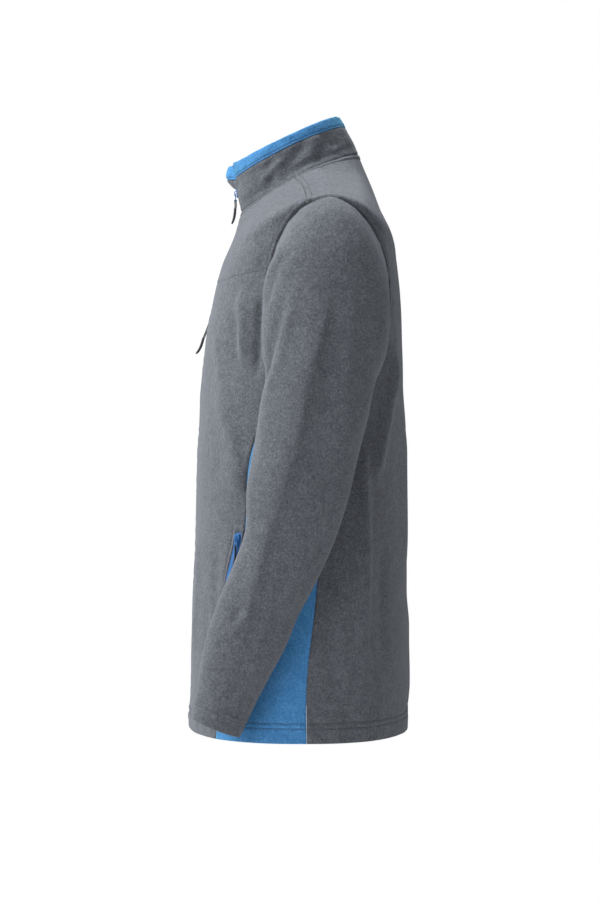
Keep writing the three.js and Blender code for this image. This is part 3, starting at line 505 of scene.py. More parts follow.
def hem_height(face, line, seed):
    """A turned-up hem: a rounded edge, a slightly thicker band, and a furrow under each of the two
    rows of stitching 18 and 24 mm above the edge."""
    away = nearest(face, line)
    edge = 1.1 * (1 - np.sqrt(np.clip(1 - (1 - np.clip(away / 1.1, 0, 1)) ** 2, 0, 1)))
    band = 0.5 * smooth((26 - away) / 4)
    rows = -0.75 * bell(away - 18, 1.1) - 0.75 * bell(away - 24, 1.1)
    return band + rows - edge + 0.35 * swell(face, seed, 60, 14) * bell(away - 12, 12)


def quads_of(rows, columns, wrap, flip, offset=0):
    """Corners of a grid's faces, round the outside of the outer side."""
    r, c = np.meshgrid(np.arange(rows - 1), np.arange(columns if wrap else columns - 1), indexing="ij")
    d = (c + 1) % columns
    corners = np.stack([r * columns + c, r * columns + d, (r + 1) * columns + d, (r + 1) * columns + c], -1)
    corners = corners.reshape(-1, 4) + offset
    return corners[:, ::-1] if flip else corners


def new_piece(name, points, faces, material):
    """A smooth-shaded object from its points in metres, its faces and its material."""
    mesh = bpy.data.meshes.new(name)
    mesh.from_pydata(points, [], faces)
    mesh.shade_smooth()
    mesh.materials.append(material)
    piece = bpy.data.objects.new(name, mesh)
    bpy.context.collection.objects.link(piece)
    return piece


def shell_mesh(name, outer, inner, material, wrap=False, flip=False):
    """A closed shell in metres from an outer and an inner grid in mm: both grids and the strips
    that join their rims."""
    rows, columns = outer.shape[:2]
    count = rows * columns
    faces = [quads_of(rows, columns, wrap, flip), quads_of(rows, columns, wrap, not flip, count)]
    c = np.arange(columns if wrap else columns - 1)
    d = (c + 1) % columns
    top = (rows - 1) * columns
    strips = [np.stack([c, c + count, d + count, d], -1),
              np.stack([top + c, top + d, top + d + count, top + c + count], -1)]
    if not wrap:
        r = np.arange(rows - 1) * columns
        e = columns - 1
        strips.append(np.stack([r, r + columns, r + columns + count, r + count], -1))
        strips.append(np.stack([r + e, r + e + count, r + e + columns + count, r + e + columns], -1))
    faces += [strip[:, ::-1] if flip else strip for strip in strips]
    points = np.concatenate([outer.reshape(-1, 3), inner.reshape(-1, 3)]) * 0.001
    piece = new_piece(name, points.tolist(), np.concatenate(faces).tolist(), material)
    return piece


def sewn_in(node):
    """A finished piece of cloth stands in its node's place, so the node's own part from the model is hidden."""
    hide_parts(node)


def shell_of(name, places, height, material, wall=WALL, mirrored=False, lift=None):
    """A piece of the body from a grid of [angle, level] and its height in mm above the smooth
    face, with its rim drawn in by half a seam gap. The wall is even and is cut inwards, and lift
    raises the inner face from there."""
    side = -1 if mirrored else 1
    angle = side * places[..., 0]
    level = places[..., 1]
    face = body_face(angle, level)
    normal = normal_of(body_face, angle, level, 0.01, 2)
    lie = body_height(angle, level, face)
    outer = face + normal * (lie + height)[..., None]
    raised = np.minimum(height, 0) * 0.15 if lift is None else lift
    inner = face + normal * (lie - wall + raised)[..., None]
    for grid in (outer, inner):
        for rim, inside in (((slice(None), 0), (slice(None), 1)), ((slice(None), -1), (slice(None), -2)),
                            ((0,), (1,)), ((-1,), (-2,))):
            way = outer[inside] - outer[rim]
            grid[rim] += way / np.linalg.norm(way, axis=-1, keepdims=True) * SEAM_GAP / 2 * 0.9
    return shell_mesh(name, outer, inner, material, flip=mirrored), outer


def body_shell(*piece, **more):
    """The same, riding on the jacket."""
    made, face = shell_of(*piece, **more)
    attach(made, "jacket")
    return made, face


def new_finish(name):
    """A new material, with its nodes, the call that links them, its shader and the places it is
    seen at in the object's own coordinates."""
    finish = bpy.data.materials.new(name)
    finish.use_nodes = True
    nodes = finish.node_tree.nodes
    link = finish.node_tree.links.new
    shader = nodes["Principled BSDF"]
    where = nodes.new("ShaderNodeTexCoord").outputs["Object"]
    return finish, nodes, link, shader, where


def toned(nodes, link, value, low, high, shader):
    """Base colour on a ramp of a value between two tones, each given as its place and colour."""
    ramp = nodes.new("ShaderNodeValToRGB")
    for k, (place, colour) in enumerate((low, high)):
        ramp.color_ramp.elements[k].position = place
        ramp.color_ramp.elements[k].color = (*colour, 1)
    link(value, ramp.inputs["Fac"])
    link(ramp.outputs["Color"], shader.inputs["Base Color"])
    return ramp.color_ramp.elements


def raised(nodes, link, value, strength, distance, target):
    """A bump of a value into the normal of a shader or of another bump."""
    bump = nodes.new("ShaderNodeBump")
    bump.inputs["Strength"].default_value = strength
    bump.inputs["Distance"].default_value = distance
    link(value, bump.inputs["Height"])
    link(bump.outputs["Normal"], target.inputs["Normal"])
    return bump


def fleece(name, deep, mid, light, seed):
    """Brushed fleece: short matted pile seen as fine grains in three tones, slow cloudy patches,
    a soft raised grain and a pale bloom where the pile is seen edge on."""
    finish, nodes, link, shader, where = new_finish(name)

    def noise(scale, detail, rough):
        grain = nodes.new("ShaderNodeTexNoise")
        grain.noise_dimensions = "4D"
        grain.inputs["W"].default_value = seed
        grain.inputs["Scale"].default_value = scale
        grain.inputs["Detail"].default_value = detail
        grain.inputs["Roughness"].default_value = rough
        link(where, grain.inputs["Vector"])
        return grain.outputs["Fac"]

    grains = noise(420, 5, 0.6)
    patches = noise(90, 4, 0.6)
    add = nodes.new("ShaderNodeMath")
    add.operation = "MULTIPLY_ADD"
    add.inputs[1].default_value = 0.3
    link(patches, add.inputs[0])
    link(grains, add.inputs[2])
    tones = toned(nodes, link, add.outputs[0], (0.46, deep), (0.86, light), shader)
    tones.new(0.65).color = (*mid, 1)
    mat = raised(nodes, link, noise(150, 4, 0.55), 0.4, 0.003, shader)
    raised(nodes, link, noise(520, 5, 0.65), 0.8, 0.0009, mat)
    shader.inputs["Roughness"].default_value = 0.95
    shader.inputs["Specular IOR Level"].default_value = 0.12
    shader.inputs["Sheen Weight"].default_value = 0.35
    shader.inputs["Sheen Roughness"].default_value = 0.5
    shader.inputs["Sheen Tint"].default_value = (*[min(1, 3.2 * part) for part in light], 1)
    return finish


grey_fleece = fleece("grey_fleece", (0.066, 0.072, 0.083), (0.112, 0.121, 0.137), (0.178, 0.19, 0.212), 1.0)
blue_fleece = fleece("blue_fleece", (0.042, 0.175, 0.41), (0.07, 0.245, 0.53), (0.115, 0.33, 0.66), 2.0)

SIDES = (("left", False, 11), ("right", True, 12))
ROW_NEAR = 1.2
ROW_FAR = 7.0
EDGE_ROW = 6.2
HEM_STITCHES = (18.0, 24.0)


def moulded(name, colour, dark, rough, grain_size, bump_depth, metal=0.0, coat=0.0):
    """A moulded, cast or extruded finish: its colour clouded with a darker tone and slightly
    uneven in gloss, with a fine raised grain."""
    finish, nodes, link, shader, where = new_finish(name)
    grain = nodes.new("ShaderNodeTexNoise")
    grain.inputs["Scale"].default_value = grain_size
    grain.inputs["Detail"].default_value = 4
    link(where, grain.inputs["Vector"])
    toned(nodes, link, grain.outputs["Fac"], (0.35, dark), (0.65, colour), shader)
    gloss = nodes.new("ShaderNodeMapRange")
    gloss.inputs["To Min"].default_value = rough - 0.08
    gloss.inputs["To Max"].default_value = rough + 0.1
    link(grain.outputs["Fac"], gloss.inputs["Value"])
    link(gloss.outputs["Result"], shader.inputs["Roughness"])
    raised(nodes, link, grain.outputs["Fac"], 0.3, bump_depth, shader)
    shader.inputs["Metallic"].default_value = metal
    shader.inputs["Coat Weight"].default_value = coat
    return finish


def capsules(name, centres, ways, normals, length, width, thick, material, sides=6,
             rings=((-0.5, 0.4), (-0.36, 1), (0.36, 1), (0.5, 0.4))):
    """Small rounded bars in mm, one at each centre: rings of an oval across its way, narrowed at
    both ends, as one piece."""
    ways = ways / np.linalg.norm(ways, axis=1, keepdims=True)
    across = np.cross(ways, normals)
    across /= np.linalg.norm(across, axis=1, keepdims=True)
    upright = np.cross(across, ways)
    turn = np.linspace(0, 2 * np.pi, sides, endpoint=False)
    shares = np.array([ring[0] for ring in rings])[:, None, None]
    sizes = np.array([ring[1] for ring in rings])[:, None, None]
    long = ways[:, None, None] * shares * length
    wide = across[:, None, None] * (np.cos(turn)[None, :, None] * width / 2) * sizes
    high = upright[:, None, None] * (np.sin(turn)[None, :, None] * thick / 2) * sizes
    points = centres[:, None, None] + long + wide + high
    each = len(rings) * sides
    ring_quads = quads_of(len(rings), sides, True, False)
    quads = (ring_quads[None] + (np.arange(len(centres)) * each)[:, None, None]).reshape(-1, 4)
    caps = np.stack([np.arange(sides)[::-1], np.arange(sides) + each - sides])
    caps = (caps[None] + (np.arange(len(centres)) * each)[:, None, None]).reshape(-1, sides)
    piece = new_piece(name, (points.reshape(-1, 3) * 0.001).tolist(), quads.tolist() + caps.tolist(),
                      material)
    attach(piece, "jacket")
    return piece


def even_steps(line, pitch, start=0.0):
    """Places every pitch along a line of points, as fractional row numbers."""
    run = np.concatenate([[0], np.cumsum(np.linalg.norm(np.diff(line, axis=0), axis=1))])
    marks = np.arange(start + pitch / 2, run[-1] - pitch / 2, pitch)
    return np.interp(marks, run, np.arange(len(line)))


def picked(rows, marks):
    """Rows of an array at fractional row numbers."""
    numbers = np.arange(len(rows))
    return np.stack([np.interp(marks, numbers, rows[:, k]) for k in range(rows.shape[1])], axis=1)


def grid_normals(outer, mirrored):
    """Unit normals of a grid of points: the cross product of its steps along and up."""
    normal = np.cross(np.gradient(outer, axis=1), np.gradient(outer, axis=0))
    normal /= np.linalg.norm(normal, axis=-1, keepdims=True)
    return -normal if mirrored else normal


def stitches(name, base, outer, mirrored, rows, more=()):
    """Rows of machine stitching on a piece, as small thread bars. Each row keeps its distance in mm
    from an edge of the piece: where each line of the grid passes that distance, a point is put
    between its neighbours, and the stitches are spaced evenly through the points. more holds
    rows given as ready points and normals."""
    normals = grid_normals(outer, mirrored)
    lines = list(more)
    for edge, part, distances in rows:
        turned = []
        for grid in (base, outer, normals):
            grid = grid if edge in ("left", "right") else np.swapaxes(grid, 0, 1)
            grid = grid[:, ::-1] if edge in ("right", "high") else grid
            turned.append(grid[part][:, :70])
        away = nearest(turned[0], turned[0][:, 0])
        pick = np.arange(len(away))
        for distance in distances:
            k = np.clip(np.argmax(away > distance, axis=1), 1, None)
            t = ((distance - away[pick, k - 1]) / (away[pick, k] - away[pick, k - 1]))[:, None]
            t = np.clip(t, 0, 1)
            lines.append([grid[pick, k - 1] * (1 - t) + grid[pick, k] * t for grid in turned[1:]])
    centres = []
    ways = []
    tops = []
    for line, normal in lines:
        marks = even_steps(line, STITCH_PITCH)
        centres.append(picked(line, marks) + 0.12 * picked(normal, marks))
        ways.append(picked(np.gradient(line, axis=0), marks))
        tops.append(picked(normal, marks))
    sewn = capsules(name, np.concatenate(centres), np.concatenate(ways), np.concatenate(tops),
                    STITCH_LENGTH, 0.62, 0.5, thread, 5, ((-0.5, 0.35), (-0.3, 1), (0.3, 1), (0.5, 0.35)))


STITCH_PITCH = 3.1
STITCH_LENGTH = 2.5
thread = moulded("sewing_thread", (0.085, 0.09, 0.1), (0.05, 0.053, 0.06), 0.7, 900, 0.00005)
ALL = slice(None)


def front_places():
    """Grid of [angle, level] for a front: rows from the hem to the yoke seam, and columns from the
    front edge to the side seam and the armhole."""
    low = crowded(front_seam_top - HEM_LEVEL, 3.2, HEM_ROWS, PLAIN_ROWS)
    high = crowded(YOKE_LEVEL - front_seam_top, 3.0, PLAIN_ROWS)
    low_levels = HEM_LEVEL + low * (front_seam_top - HEM_LEVEL)
    left_levels = np.concatenate([low_levels, front_seam_top + high[1:] * (YOKE_LEVEL - front_seam_top)])
    side = np.stack([front_seam_angle(low_levels), low_levels], axis=1)
    right = np.vstack([side, armhole(FRONT_SEAM + (YOKE_SEAM - FRONT_SEAM) * high[1:])])
    left = on_front_edge(left_levels)
    u = crowded(215, 3.0, EDGE_ROWS, POCKET_ROWS)
    halfway = (u[1:] + u[:-1]) / 2
    u = np.sort(np.concatenate([u, halfway[(halfway > 0.2) & (halfway < 0.42)]]))[None, :, None]
    return left[:, None] * (1 - u) + right[:, None] * u, len(low) - 1


def pocket_height(face, line_at, side, top, length):
    """The fleece round a pocket zip: two soft lips along it, and a furrow under the topstitching
    that runs round them."""
    levels = np.linspace(top, top - length, 60)
    away = nearest(face, body_face(side * line_at(np.zeros(60), levels), levels))
    return 2.0 * bell(away - 6.6, 1.7) - 0.55 * bell(away - POCKET_STITCH, 0.9)


def stitched_round(line_at, side, top, length, offsets):
    """The topstitching beside a pocket zip, as points and normals: up one side, across above the
    zip and down the other side."""
    reach = POCKET_STITCH
    low = top - length - reach
    high = top + reach
    up = np.linspace(low, high, 60)
    over = np.linspace(offsets[0], offsets[1], 12)
    offset = np.concatenate([np.full(60, offsets[0]), over[1:-1], np.full(60, offsets[1])])
    level = np.concatenate([up, np.full(10, high), up[::-1]])
    angle = side * line_at(offset, level)
    return [body_point(angle, level, -0.3), normal_of(body_face, angle, level, 0.01, 2)]


front_grid, front_corner = front_places()
fronts = {}
for name, mirrored, seed in SIDES:
    side = -1 if mirrored else 1
    base = body_face(side * front_grid[..., 0], front_grid[..., 1])
    height = seam_height(base, base[:, 0], (EDGE_ROW,), seed, 0.3, 0.7)
    height += seam_height(base, base[:front_corner, -1], (), seed + 20, 0.4)
    height += seam_height(base, base[front_corner:, -1], (ROW_NEAR, ROW_FAR), seed + 30)
    height += seam_height(base, base[-1], (), seed + 40, 0.08, 0.22)
    height += hem_height(base, base[0], seed + 60)
    height += pocket_height(base, hand_line, side, HAND_ZIP_TOP, HAND_ZIP_LENGTH)
    topstitch = [stitched_round(hand_line, side, HAND_ZIP_TOP, HAND_ZIP_LENGTH, (-POCKET_STITCH, 6.0))]
    if mirrored:
        height += pocket_height(base, chest_line, side, CHEST_ZIP_TOP, CHEST_ZIP_LENGTH)
        topstitch.append(stitched_round(chest_line, side, CHEST_ZIP_TOP, CHEST_ZIP_LENGTH,
                                        (-POCKET_STITCH, POCKET_STITCH)))
    fronts[name], face = body_shell("front_%s_cloth" % name, front_grid, height, grey_fleece,
                                    mirrored=mirrored)
    stitches("front_%s_stitches" % name, base, face, mirrored, [
        ("left", ALL, (EDGE_ROW,)), ("low", ALL, HEM_STITCHES),
        ("right", slice(front_corner, None), (ROW_NEAR, ROW_FAR))], topstitch)
    sewn_in("front_" + name)

# Front yokes.
# Two pieces of the same grey fleece, from the yoke seam up to the neck, with their shoulder seam
# set forward of the crest. Each seam is turned towards the yoke and stitched down in two rows.
neck_end = np.array([[math.radians(79), NECK_LEVEL]])
shoulder_end = armhole(np.array([float(SHOULDER_SEAM)]))


def shoulder_line(shares):
    """The shoulder seam, straight in angle and level from the armhole to the neck."""
    return shoulder_end + (neck_end - shoulder_end) * np.asarray(shares)[:, None]


yoke_low = crowded(75, 2.2, EDGE_ROWS, PLAIN_ROWS)
yoke_high = crowded(150, 2.4, PLAIN_ROWS, EDGE_ROWS)
yoke_v = np.concatenate([0.4 * yoke_low, 0.4 + 0.6 * yoke_high[1:]])
yoke_left = on_front_edge(YOKE_LEVEL + yoke_v * (NECK_LEVEL - YOKE_LEVEL))
yoke_right = np.vstack([armhole(YOKE_SEAM + (SHOULDER_SEAM - YOKE_SEAM) * yoke_low),
                        shoulder_line(yoke_high[1:])])
yoke_u = crowded(190, 2.4)[None, :, None]
yoke_grid = yoke_left[:, None] * (1 - yoke_u) + yoke_right[:, None] * yoke_u
yokes = {}
for name, mirrored, seed in SIDES:
    side = -1 if mirrored else 1
    base = body_face(side * yoke_grid[..., 0], yoke_grid[..., 1])
    corner = len(yoke_low)
    height = seam_height(base, base[:, 0], (EDGE_ROW,), seed, 0.3, 0.7)
    height += seam_height(base, base[:corner, -1], (ROW_NEAR, ROW_FAR), seed + 1)
    height += seam_height(base, base[corner - 1:, -1], (), seed + 2, 0.4)
    height += seam_height(base, base[0], (), seed + 3, 0.08, 0.22)
    height += seam_height(base, base[-1], (ROW_NEAR, ROW_FAR), seed + 4)
    yokes[name], face = body_shell("yoke_%s_cloth" % name, yoke_grid, height, grey_fleece, mirrored=mirrored)
    stitches("yoke_%s_stitches" % name, base, face, mirrored, [
        ("left", ALL, (EDGE_ROW,)), ("high", ALL, (ROW_NEAR, ROW_FAR)),
        ("right", slice(0, corner), (ROW_NEAR, ROW_FAR))])
    sewn_in("yoke_" + name)

# Back.
# One wide piece of grey fleece from the hem over the crest of the shoulders to the forward
# shoulder seams, sewn to both side panels, sleeves and yokes and to the collar.
back_low = crowded(back_seam_top - HEM_LEVEL, 3.4, HEM_ROWS, PLAIN_ROWS)
back_mid = crowded(340, 3.2, PLAIN_ROWS, PLAIN_ROWS)
back_high = crowded(165, 3.0, PLAIN_ROWS, EDGE_ROWS)
back_levels = HEM_LEVEL + back_low * (back_seam_top - HEM_LEVEL)
back_left = np.vstack([
    np.stack([back_seam_angle(back_levels), back_levels], axis=1),
    armhole(BACK_SEAM + (360 + SHOULDER_SEAM - BACK_SEAM) * back_mid[1:]),
    shoulder_line(back_high[1:]),
])
back_right = np.stack([2 * np.pi - back_left[:, 0], back_left[:, 1]], axis=1)
share_above = np.concatenate([back_mid * 2 / 3, 2 / 3 + back_high[1:] / 3])
heights = row_at(RINGS, back_seam_top)[6] + share_above * (
    row_at(RINGS, NECK_LEVEL)[6] - row_at(RINGS, back_seam_top)[6])
by_height = RINGS[:, [6, 0]]
middle_levels = np.concatenate([back_levels[:-1], row_at(by_height, heights)[:, 1]])
middle_levels[-1] = NECK_LEVEL
back_u = crowded(480, 3.0)
back_grid = back_left[:, None] * (1 - back_u[None, :, None]) + back_right[:, None] * back_u[None, :, None]
back_bend = 1 - np.abs(2 * back_u - 1) ** 1.5
back_grid[..., 1] += (middle_levels - back_left[:, 1])[:, None] * back_bend[None]

base = body_face(back_grid[..., 0], back_grid[..., 1])
seam_rows = len(back_low)
armhole_rows = seam_rows + len(back_mid) - 1
height = hem_height(base, base[0], 70)
height += seam_height(base, base[-1], (ROW_NEAR, ROW_FAR), 71)
for column, seed in ((0, 72), (-1, 75)):
    edge = base[:, column]
    height += seam_height(base, edge[:seam_rows], (), seed, 0.4)
    height += seam_height(base, edge[seam_rows - 1:armhole_rows], (ROW_NEAR, ROW_FAR), seed + 1)
    height += seam_height(base, edge[armhole_rows - 1:], (ROW_NEAR, ROW_FAR), seed + 2)
back, face = body_shell("back_cloth", back_grid, height, grey_fleece)
above_seams = slice(seam_rows - 1, None)
stitches("back_stitches", base, face, False, [
    ("low", ALL, HEM_STITCHES), ("high", ALL, (ROW_NEAR, ROW_FAR)),
    ("left", above_seams, (ROW_NEAR, ROW_FAR)), ("right", above_seams, (ROW_NEAR, ROW_FAR))])
sewn_in("back")

# Side panels.
# Two tapering panels of bright blue fleece from the hem up to the underarm, the contrast pieces
# that shape the waist. Both long seams are plain, and the hem is turned up with the rest.
side_low = crowded(front_seam_top - HEM_LEVEL, 3.2, HEM_ROWS, EDGE_ROWS)
side_u = crowded(120, 2.8)
front_levels = HEM_LEVEL + side_low * (front_seam_top - HEM_LEVEL)
rear_levels = HEM_LEVEL + side_low * (back_seam_top - HEM_LEVEL)
side_left = np.stack([front_seam_angle(front_levels), front_levels], axis=1)
side_right = np.stack([back_seam_angle(rear_levels), rear_levels], axis=1)
side_top = armhole(FRONT_SEAM + (BACK_SEAM - FRONT_SEAM) * side_u)
u = side_u[None, :, None]
v = side_low[:, None, None]
straight_top = side_left[-1] * (1 - u) + side_right[-1] * u
side_grid = side_left[:, None] * (1 - u) + side_right[:, None] * u + v * (side_top[None] - straight_top)
side_panels = {}
for name, mirrored, seed in SIDES:
    side = -1 if mirrored else 1
    base = body_face(side * side_grid[..., 0], side_grid[..., 1])
    height = hem_height(base, base[0], seed + 70)
    height += seam_height(base, base[:, 0], (), seed + 80, 0.4)
    height += seam_height(base, base[:, -1], (), seed + 81, 0.4)
    height += seam_height(base, base[-1], (ROW_NEAR, ROW_FAR), seed + 82)
    side_panels[name], face = body_shell("side_panel_%s_cloth" % name, side_grid, height, blue_fleece,
                                         mirrored=mirrored)
    stitches("side_panel_%s_stitches" % name, base, face, mirrored, [
        ("low", ALL, HEM_STITCHES), ("high", ALL, (ROW_NEAR, ROW_FAR))])
    sewn_in("side_panel_" + name)

# Sleeves.
# Two long sleeves of grey fleece, each one piece joined by a seam under the arm, set into the
# armhole and turned up at the cuff with two rows of stitching. They hang with a bent elbow.
SLEEVE = np.array([
    [153, 222, -39, 199, -268, -36, -153.5, 108, -153.5],
    [162, 233, -45, 201.5, -273, -38, -163, 107.5, -162],
    [174, 250, -58, 203, -278, -41, -175, 107, -174],
    [191, 268, -88, 204, -283, -45, -192, 106, -190],
    [215, 282, -138, 205, -288, -45, -217, 102, -214],
    [252, 291, -208, 206, -296, -41, -252, 90, -253],
    [297, 295, -288, 207, -306, -48, -292, 80, -302],
    [346, 294, -346, 209, -350, -55, -340, 67, -352],
    [397, 291, -397, 210, -400, -62, -390, 54, -405],
    [440, 287, -440, 209, -442, -65, -432, 41, -447],
    [482, 282, -482, 207, -484, -78, -475, 22, -490],
    [525, 275, -525, 203, -527, -97, -518, 0, -532],
    [577, 266, -577, 197, -580, -113, -568, -24, -586],
    [631, 259, -631, 192, -634, -123, -622, -53, -641],
    [668, 255, -668, 189, -672, -129, -657, -72, -680],
], float)
SLEEVE_TOP = 153
EASE_END = 191
SLEEVE_ARC = 58  # mm round the sleeve for a radian, to lay its folds out flat


def sleeve_oval(angle, down):
    """A sleeve section: an oval through its outer, front, inner and back points."""
    row = row_at(SLEEVE, down)
    outer_x, outer_z, inner_x, inner_z, front_y, front_z, back_y, back_z = np.moveaxis(row[..., 1:], -1, 0)
    c, s = oval(angle, 2.1)
    share = s * s / (s * s + c * c)
    middle_z = (outer_z + inner_z) / 2 * (1 - share) + (front_z + back_z) / 2 * share
    return np.stack([
        (outer_x + inner_x) / 2 + c * (outer_x - inner_x) / 2,
        (front_y + back_y) / 2 + s * (front_y - back_y) / 2,
        middle_z + c * (outer_z - inner_z) / 2 + s * (front_z - back_z) / 2,
    ], axis=-1)


# Folds of the left sleeve seen from outside and of the right one, top to bottom: width ahead of
# the path and behind it, height and [y, z] path.
SLEEVE_SIDE_FOLDS = {
    "left": [
        (24, 7, 6.0, [[29, -150], [28, -175], [22, -213], [7, -271], [-1, -316], [-8, -345], [-19, -388],
                      [-31, -426], [-42, -462]]),
        (14, 7, 3.4, [[-26, -400], [-38, -440], [-50, -490], [-62, -540], [-72, -590]]),
        (10, 7, 3.6, [[-12, -92], [-26, -116], [-38, -140], [-42, -165]]),
        (7, 8, -3.2, [[-22, -120], [-34, -146], [-40, -176]]),
        (9, 8, -3.0, [[-14, -150], [-24, -194], [-36, -240], [-46, -270]]),
        (12, 9, 2.6, [[-6, -140], [-14, -190], [-28, -244], [-44, -290]]),
        (10, 12, -3.4, [[40, -190], [36, -250], [22, -330], [10, -380]]),
        (11, 10, 2.6, [[66, -150], [62, -220], [48, -300], [34, -360]]),
        (6, 6, -2.2, [[-66, -520], [-74, -534], [-78, -546]]),
        (6, 6, -2.0, [[-62, -536], [-68, -550], [-70, -564]]),
        (7, 6, 1.6, [[-58, -524], [-64, -540], [-66, -556]]),
        (9, 9, 2.0, [[-36, -520], [-48, -566], [-62, -620]]),
        (9, 8, -2.2, [[0, -440], [-14, -490], [-34, -560]]),
        (8, 8, -2.0, [[-52, -600], [-66, -640], [-74, -668]]),
    ],
    "right": [
        (24, 8, 4.0, [[32, -160], [26, -215], [12, -270], [2, -320], [-10, -360], [-24, -410], [-38, -460]]),
        (13, 8, 2.4, [[-30, -420], [-46, -480], [-58, -530], [-70, -590]]),
        (10, 7, 3.2, [[-10, -96], [-24, -122], [-38, -150], [-42, -178]]),
        (8, 8, -3.0, [[-18, -150], [-28, -196], [-42, -250]]),
        (12, 9, 2.6, [[-4, -130], [-12, -180], [-26, -236], [-40, -280]]),
        (10, 12, -2.4, [[42, -200], [34, -270], [20, -350]]),
        (11, 10, 2.6, [[64, -160], [58, -230], [44, -310]]),
        (6, 6, -2.2, [[-60, -500], [-70, -516], [-76, -532]]),
        (6, 7, -1.8, [[-56, -522], [-64, -540], [-70, -552]]),
        (9, 8, -2.0, [[-2, -450], [-18, -510], [-36, -570]]),
    ],
}
# Folds on the sleeves' inner and rear sides, as [degrees round from the outside, how far down].
SLEEVE_HIDDEN_FOLDS = [
    (9, 9, -3.4, [[118, 215], [104, 245], [92, 285]]),
    (9, 8, -3.0, [[300, 430], [318, 455], [334, 470]]),
    (8, 8, -2.6, [[296, 460], [312, 486], [330, 500]]),
    (12, 9, 2.6, [[236, 240], [232, 330], [246, 410]]),
    (9, 8, -2.4, [[196, 300], [206, 330], [222, 350]]),
    (10, 8, -2.2, [[150, 420], [136, 446], [122, 460]]),
    (10, 10, 2.0, [[262, 520], [256, 580], [250, 640]]),
]


def on_sleeve(places):
    """Angle and how far down on the outside of the left sleeve, at [y, z] seen from the side."""
    places = np.asarray(places, float)
    return found_from_side(sleeve_oval, places, np.zeros(len(places)), -places[:, 1], SLEEVE_TOP,
                           SLEEVE[-1, 0])


sleeve_folds = {}
for name, table in SLEEVE_SIDE_FOLDS.items():
    sleeve_folds[name] = [flat_fold(behind, ahead, height, on_sleeve(path), SLEEVE_ARC)
                          for ahead, behind, height, path in table]
    sleeve_folds[name] += [
        flat_fold(*fold[:3], np.array(fold[3], float) * [math.radians(1), 1], SLEEVE_ARC)
        for fold in SLEEVE_HIDDEN_FOLDS]

seam_degrees = np.linspace(0, 360, 721)
seam_places = armhole(seam_degrees)


def sleeve_face(angle, down, side):
    """The sleeve's smooth face in mm as on the left: its oval, eased onto the armhole's own line
    over the first sections, with the square of how much of them is left."""
    angle, down = np.broadcast_arrays(np.asarray(angle, float), np.asarray(down, float))
    turn = np.degrees(angle) % 360
    line = seam_line[side]
    on_body = np.stack([np.interp(turn, seam_degrees, line[:, k]) for k in range(3)], axis=-1)
    gap = np.stack([np.full(turn.shape, SEAM_GAP), SEAM_GAP * np.sin(angle), -SEAM_GAP * np.cos(angle)], -1)
    away = on_body - sleeve_oval(angle, SLEEVE_TOP) + gap
    left = np.clip((EASE_END - down) / (EASE_END - SLEEVE_TOP), 0, 1) ** 2
    return sleeve_oval(angle, down) + away * left[..., None]


seam_line = {}
for name, mirrored, seed in SIDES:
    side = -1 if mirrored else 1
    line = body_point(side * seam_places[:, 0], seam_places[:, 1])
    seam_line[name] = line * [side, 1, 1]

SLEEVE_RUN = 535
sleeve_v = crowded(SLEEVE_RUN, 2.9, EDGE_ROWS, HEM_ROWS)
sleeve_turn = np.linspace(0, 2 * np.pi, 168, endpoint=False)
sleeve_down = SLEEVE_TOP + sleeve_v * (SLEEVE[-1, 0] - SLEEVE_TOP)
sleeves = {}
for name, mirrored, seed in SIDES:
    turn, down = np.meshgrid(sleeve_turn, sleeve_down)
    base = sleeve_face(turn, down, name)
    normal = normal_of(lambda a, b: sleeve_face(a, b, name), turn, down, 0.02, 1)
    lift = fold_height(sleeve_folds[name], turn * SLEEVE_ARC, down, 2 * np.pi * SLEEVE_ARC)
    close_top = np.vstack([base[0], base[0, :1]])
    close_cuff = np.vstack([base[-1], base[-1, :1]])
    height = seam_height(base, close_top, (), seed + 90, 0.3, 0.8)
    height += hem_height(base, close_cuff, seed + 91)
    under = np.abs(wrapped(turn - np.pi)) * SLEEVE_ARC
    height += -0.9 * bell(under, 2.2)
    slow = swell(base * [-1 if mirrored else 1, 1, 1], seed + 92, 110, 40)
    height += 0.6 * slow * smooth((down - SLEEVE_TOP) / 60)
    outer = base + normal * (lift + height)[..., None]
    inner = base + normal * (lift - WALL + np.minimum(height, 0) * 0.15)[..., None]
    if mirrored:
        outer = outer * [-1, 1, 1]
        inner = inner * [-1, 1, 1]
    sleeves[name] = shell_mesh("sleeve_%s_cloth" % name, outer, inner, grey_fleece, wrap=True, flip=mirrored)
    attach(sleeves[name], "jacket")
    closed = [np.concatenate([grid, grid[:, :1]], axis=1) for grid in (base, outer)]
    stitches("sleeve_%s_stitches" % name, *closed, not mirrored, [("high", ALL, HEM_STITCHES)])
    sewn_in("sleeve_" + name)

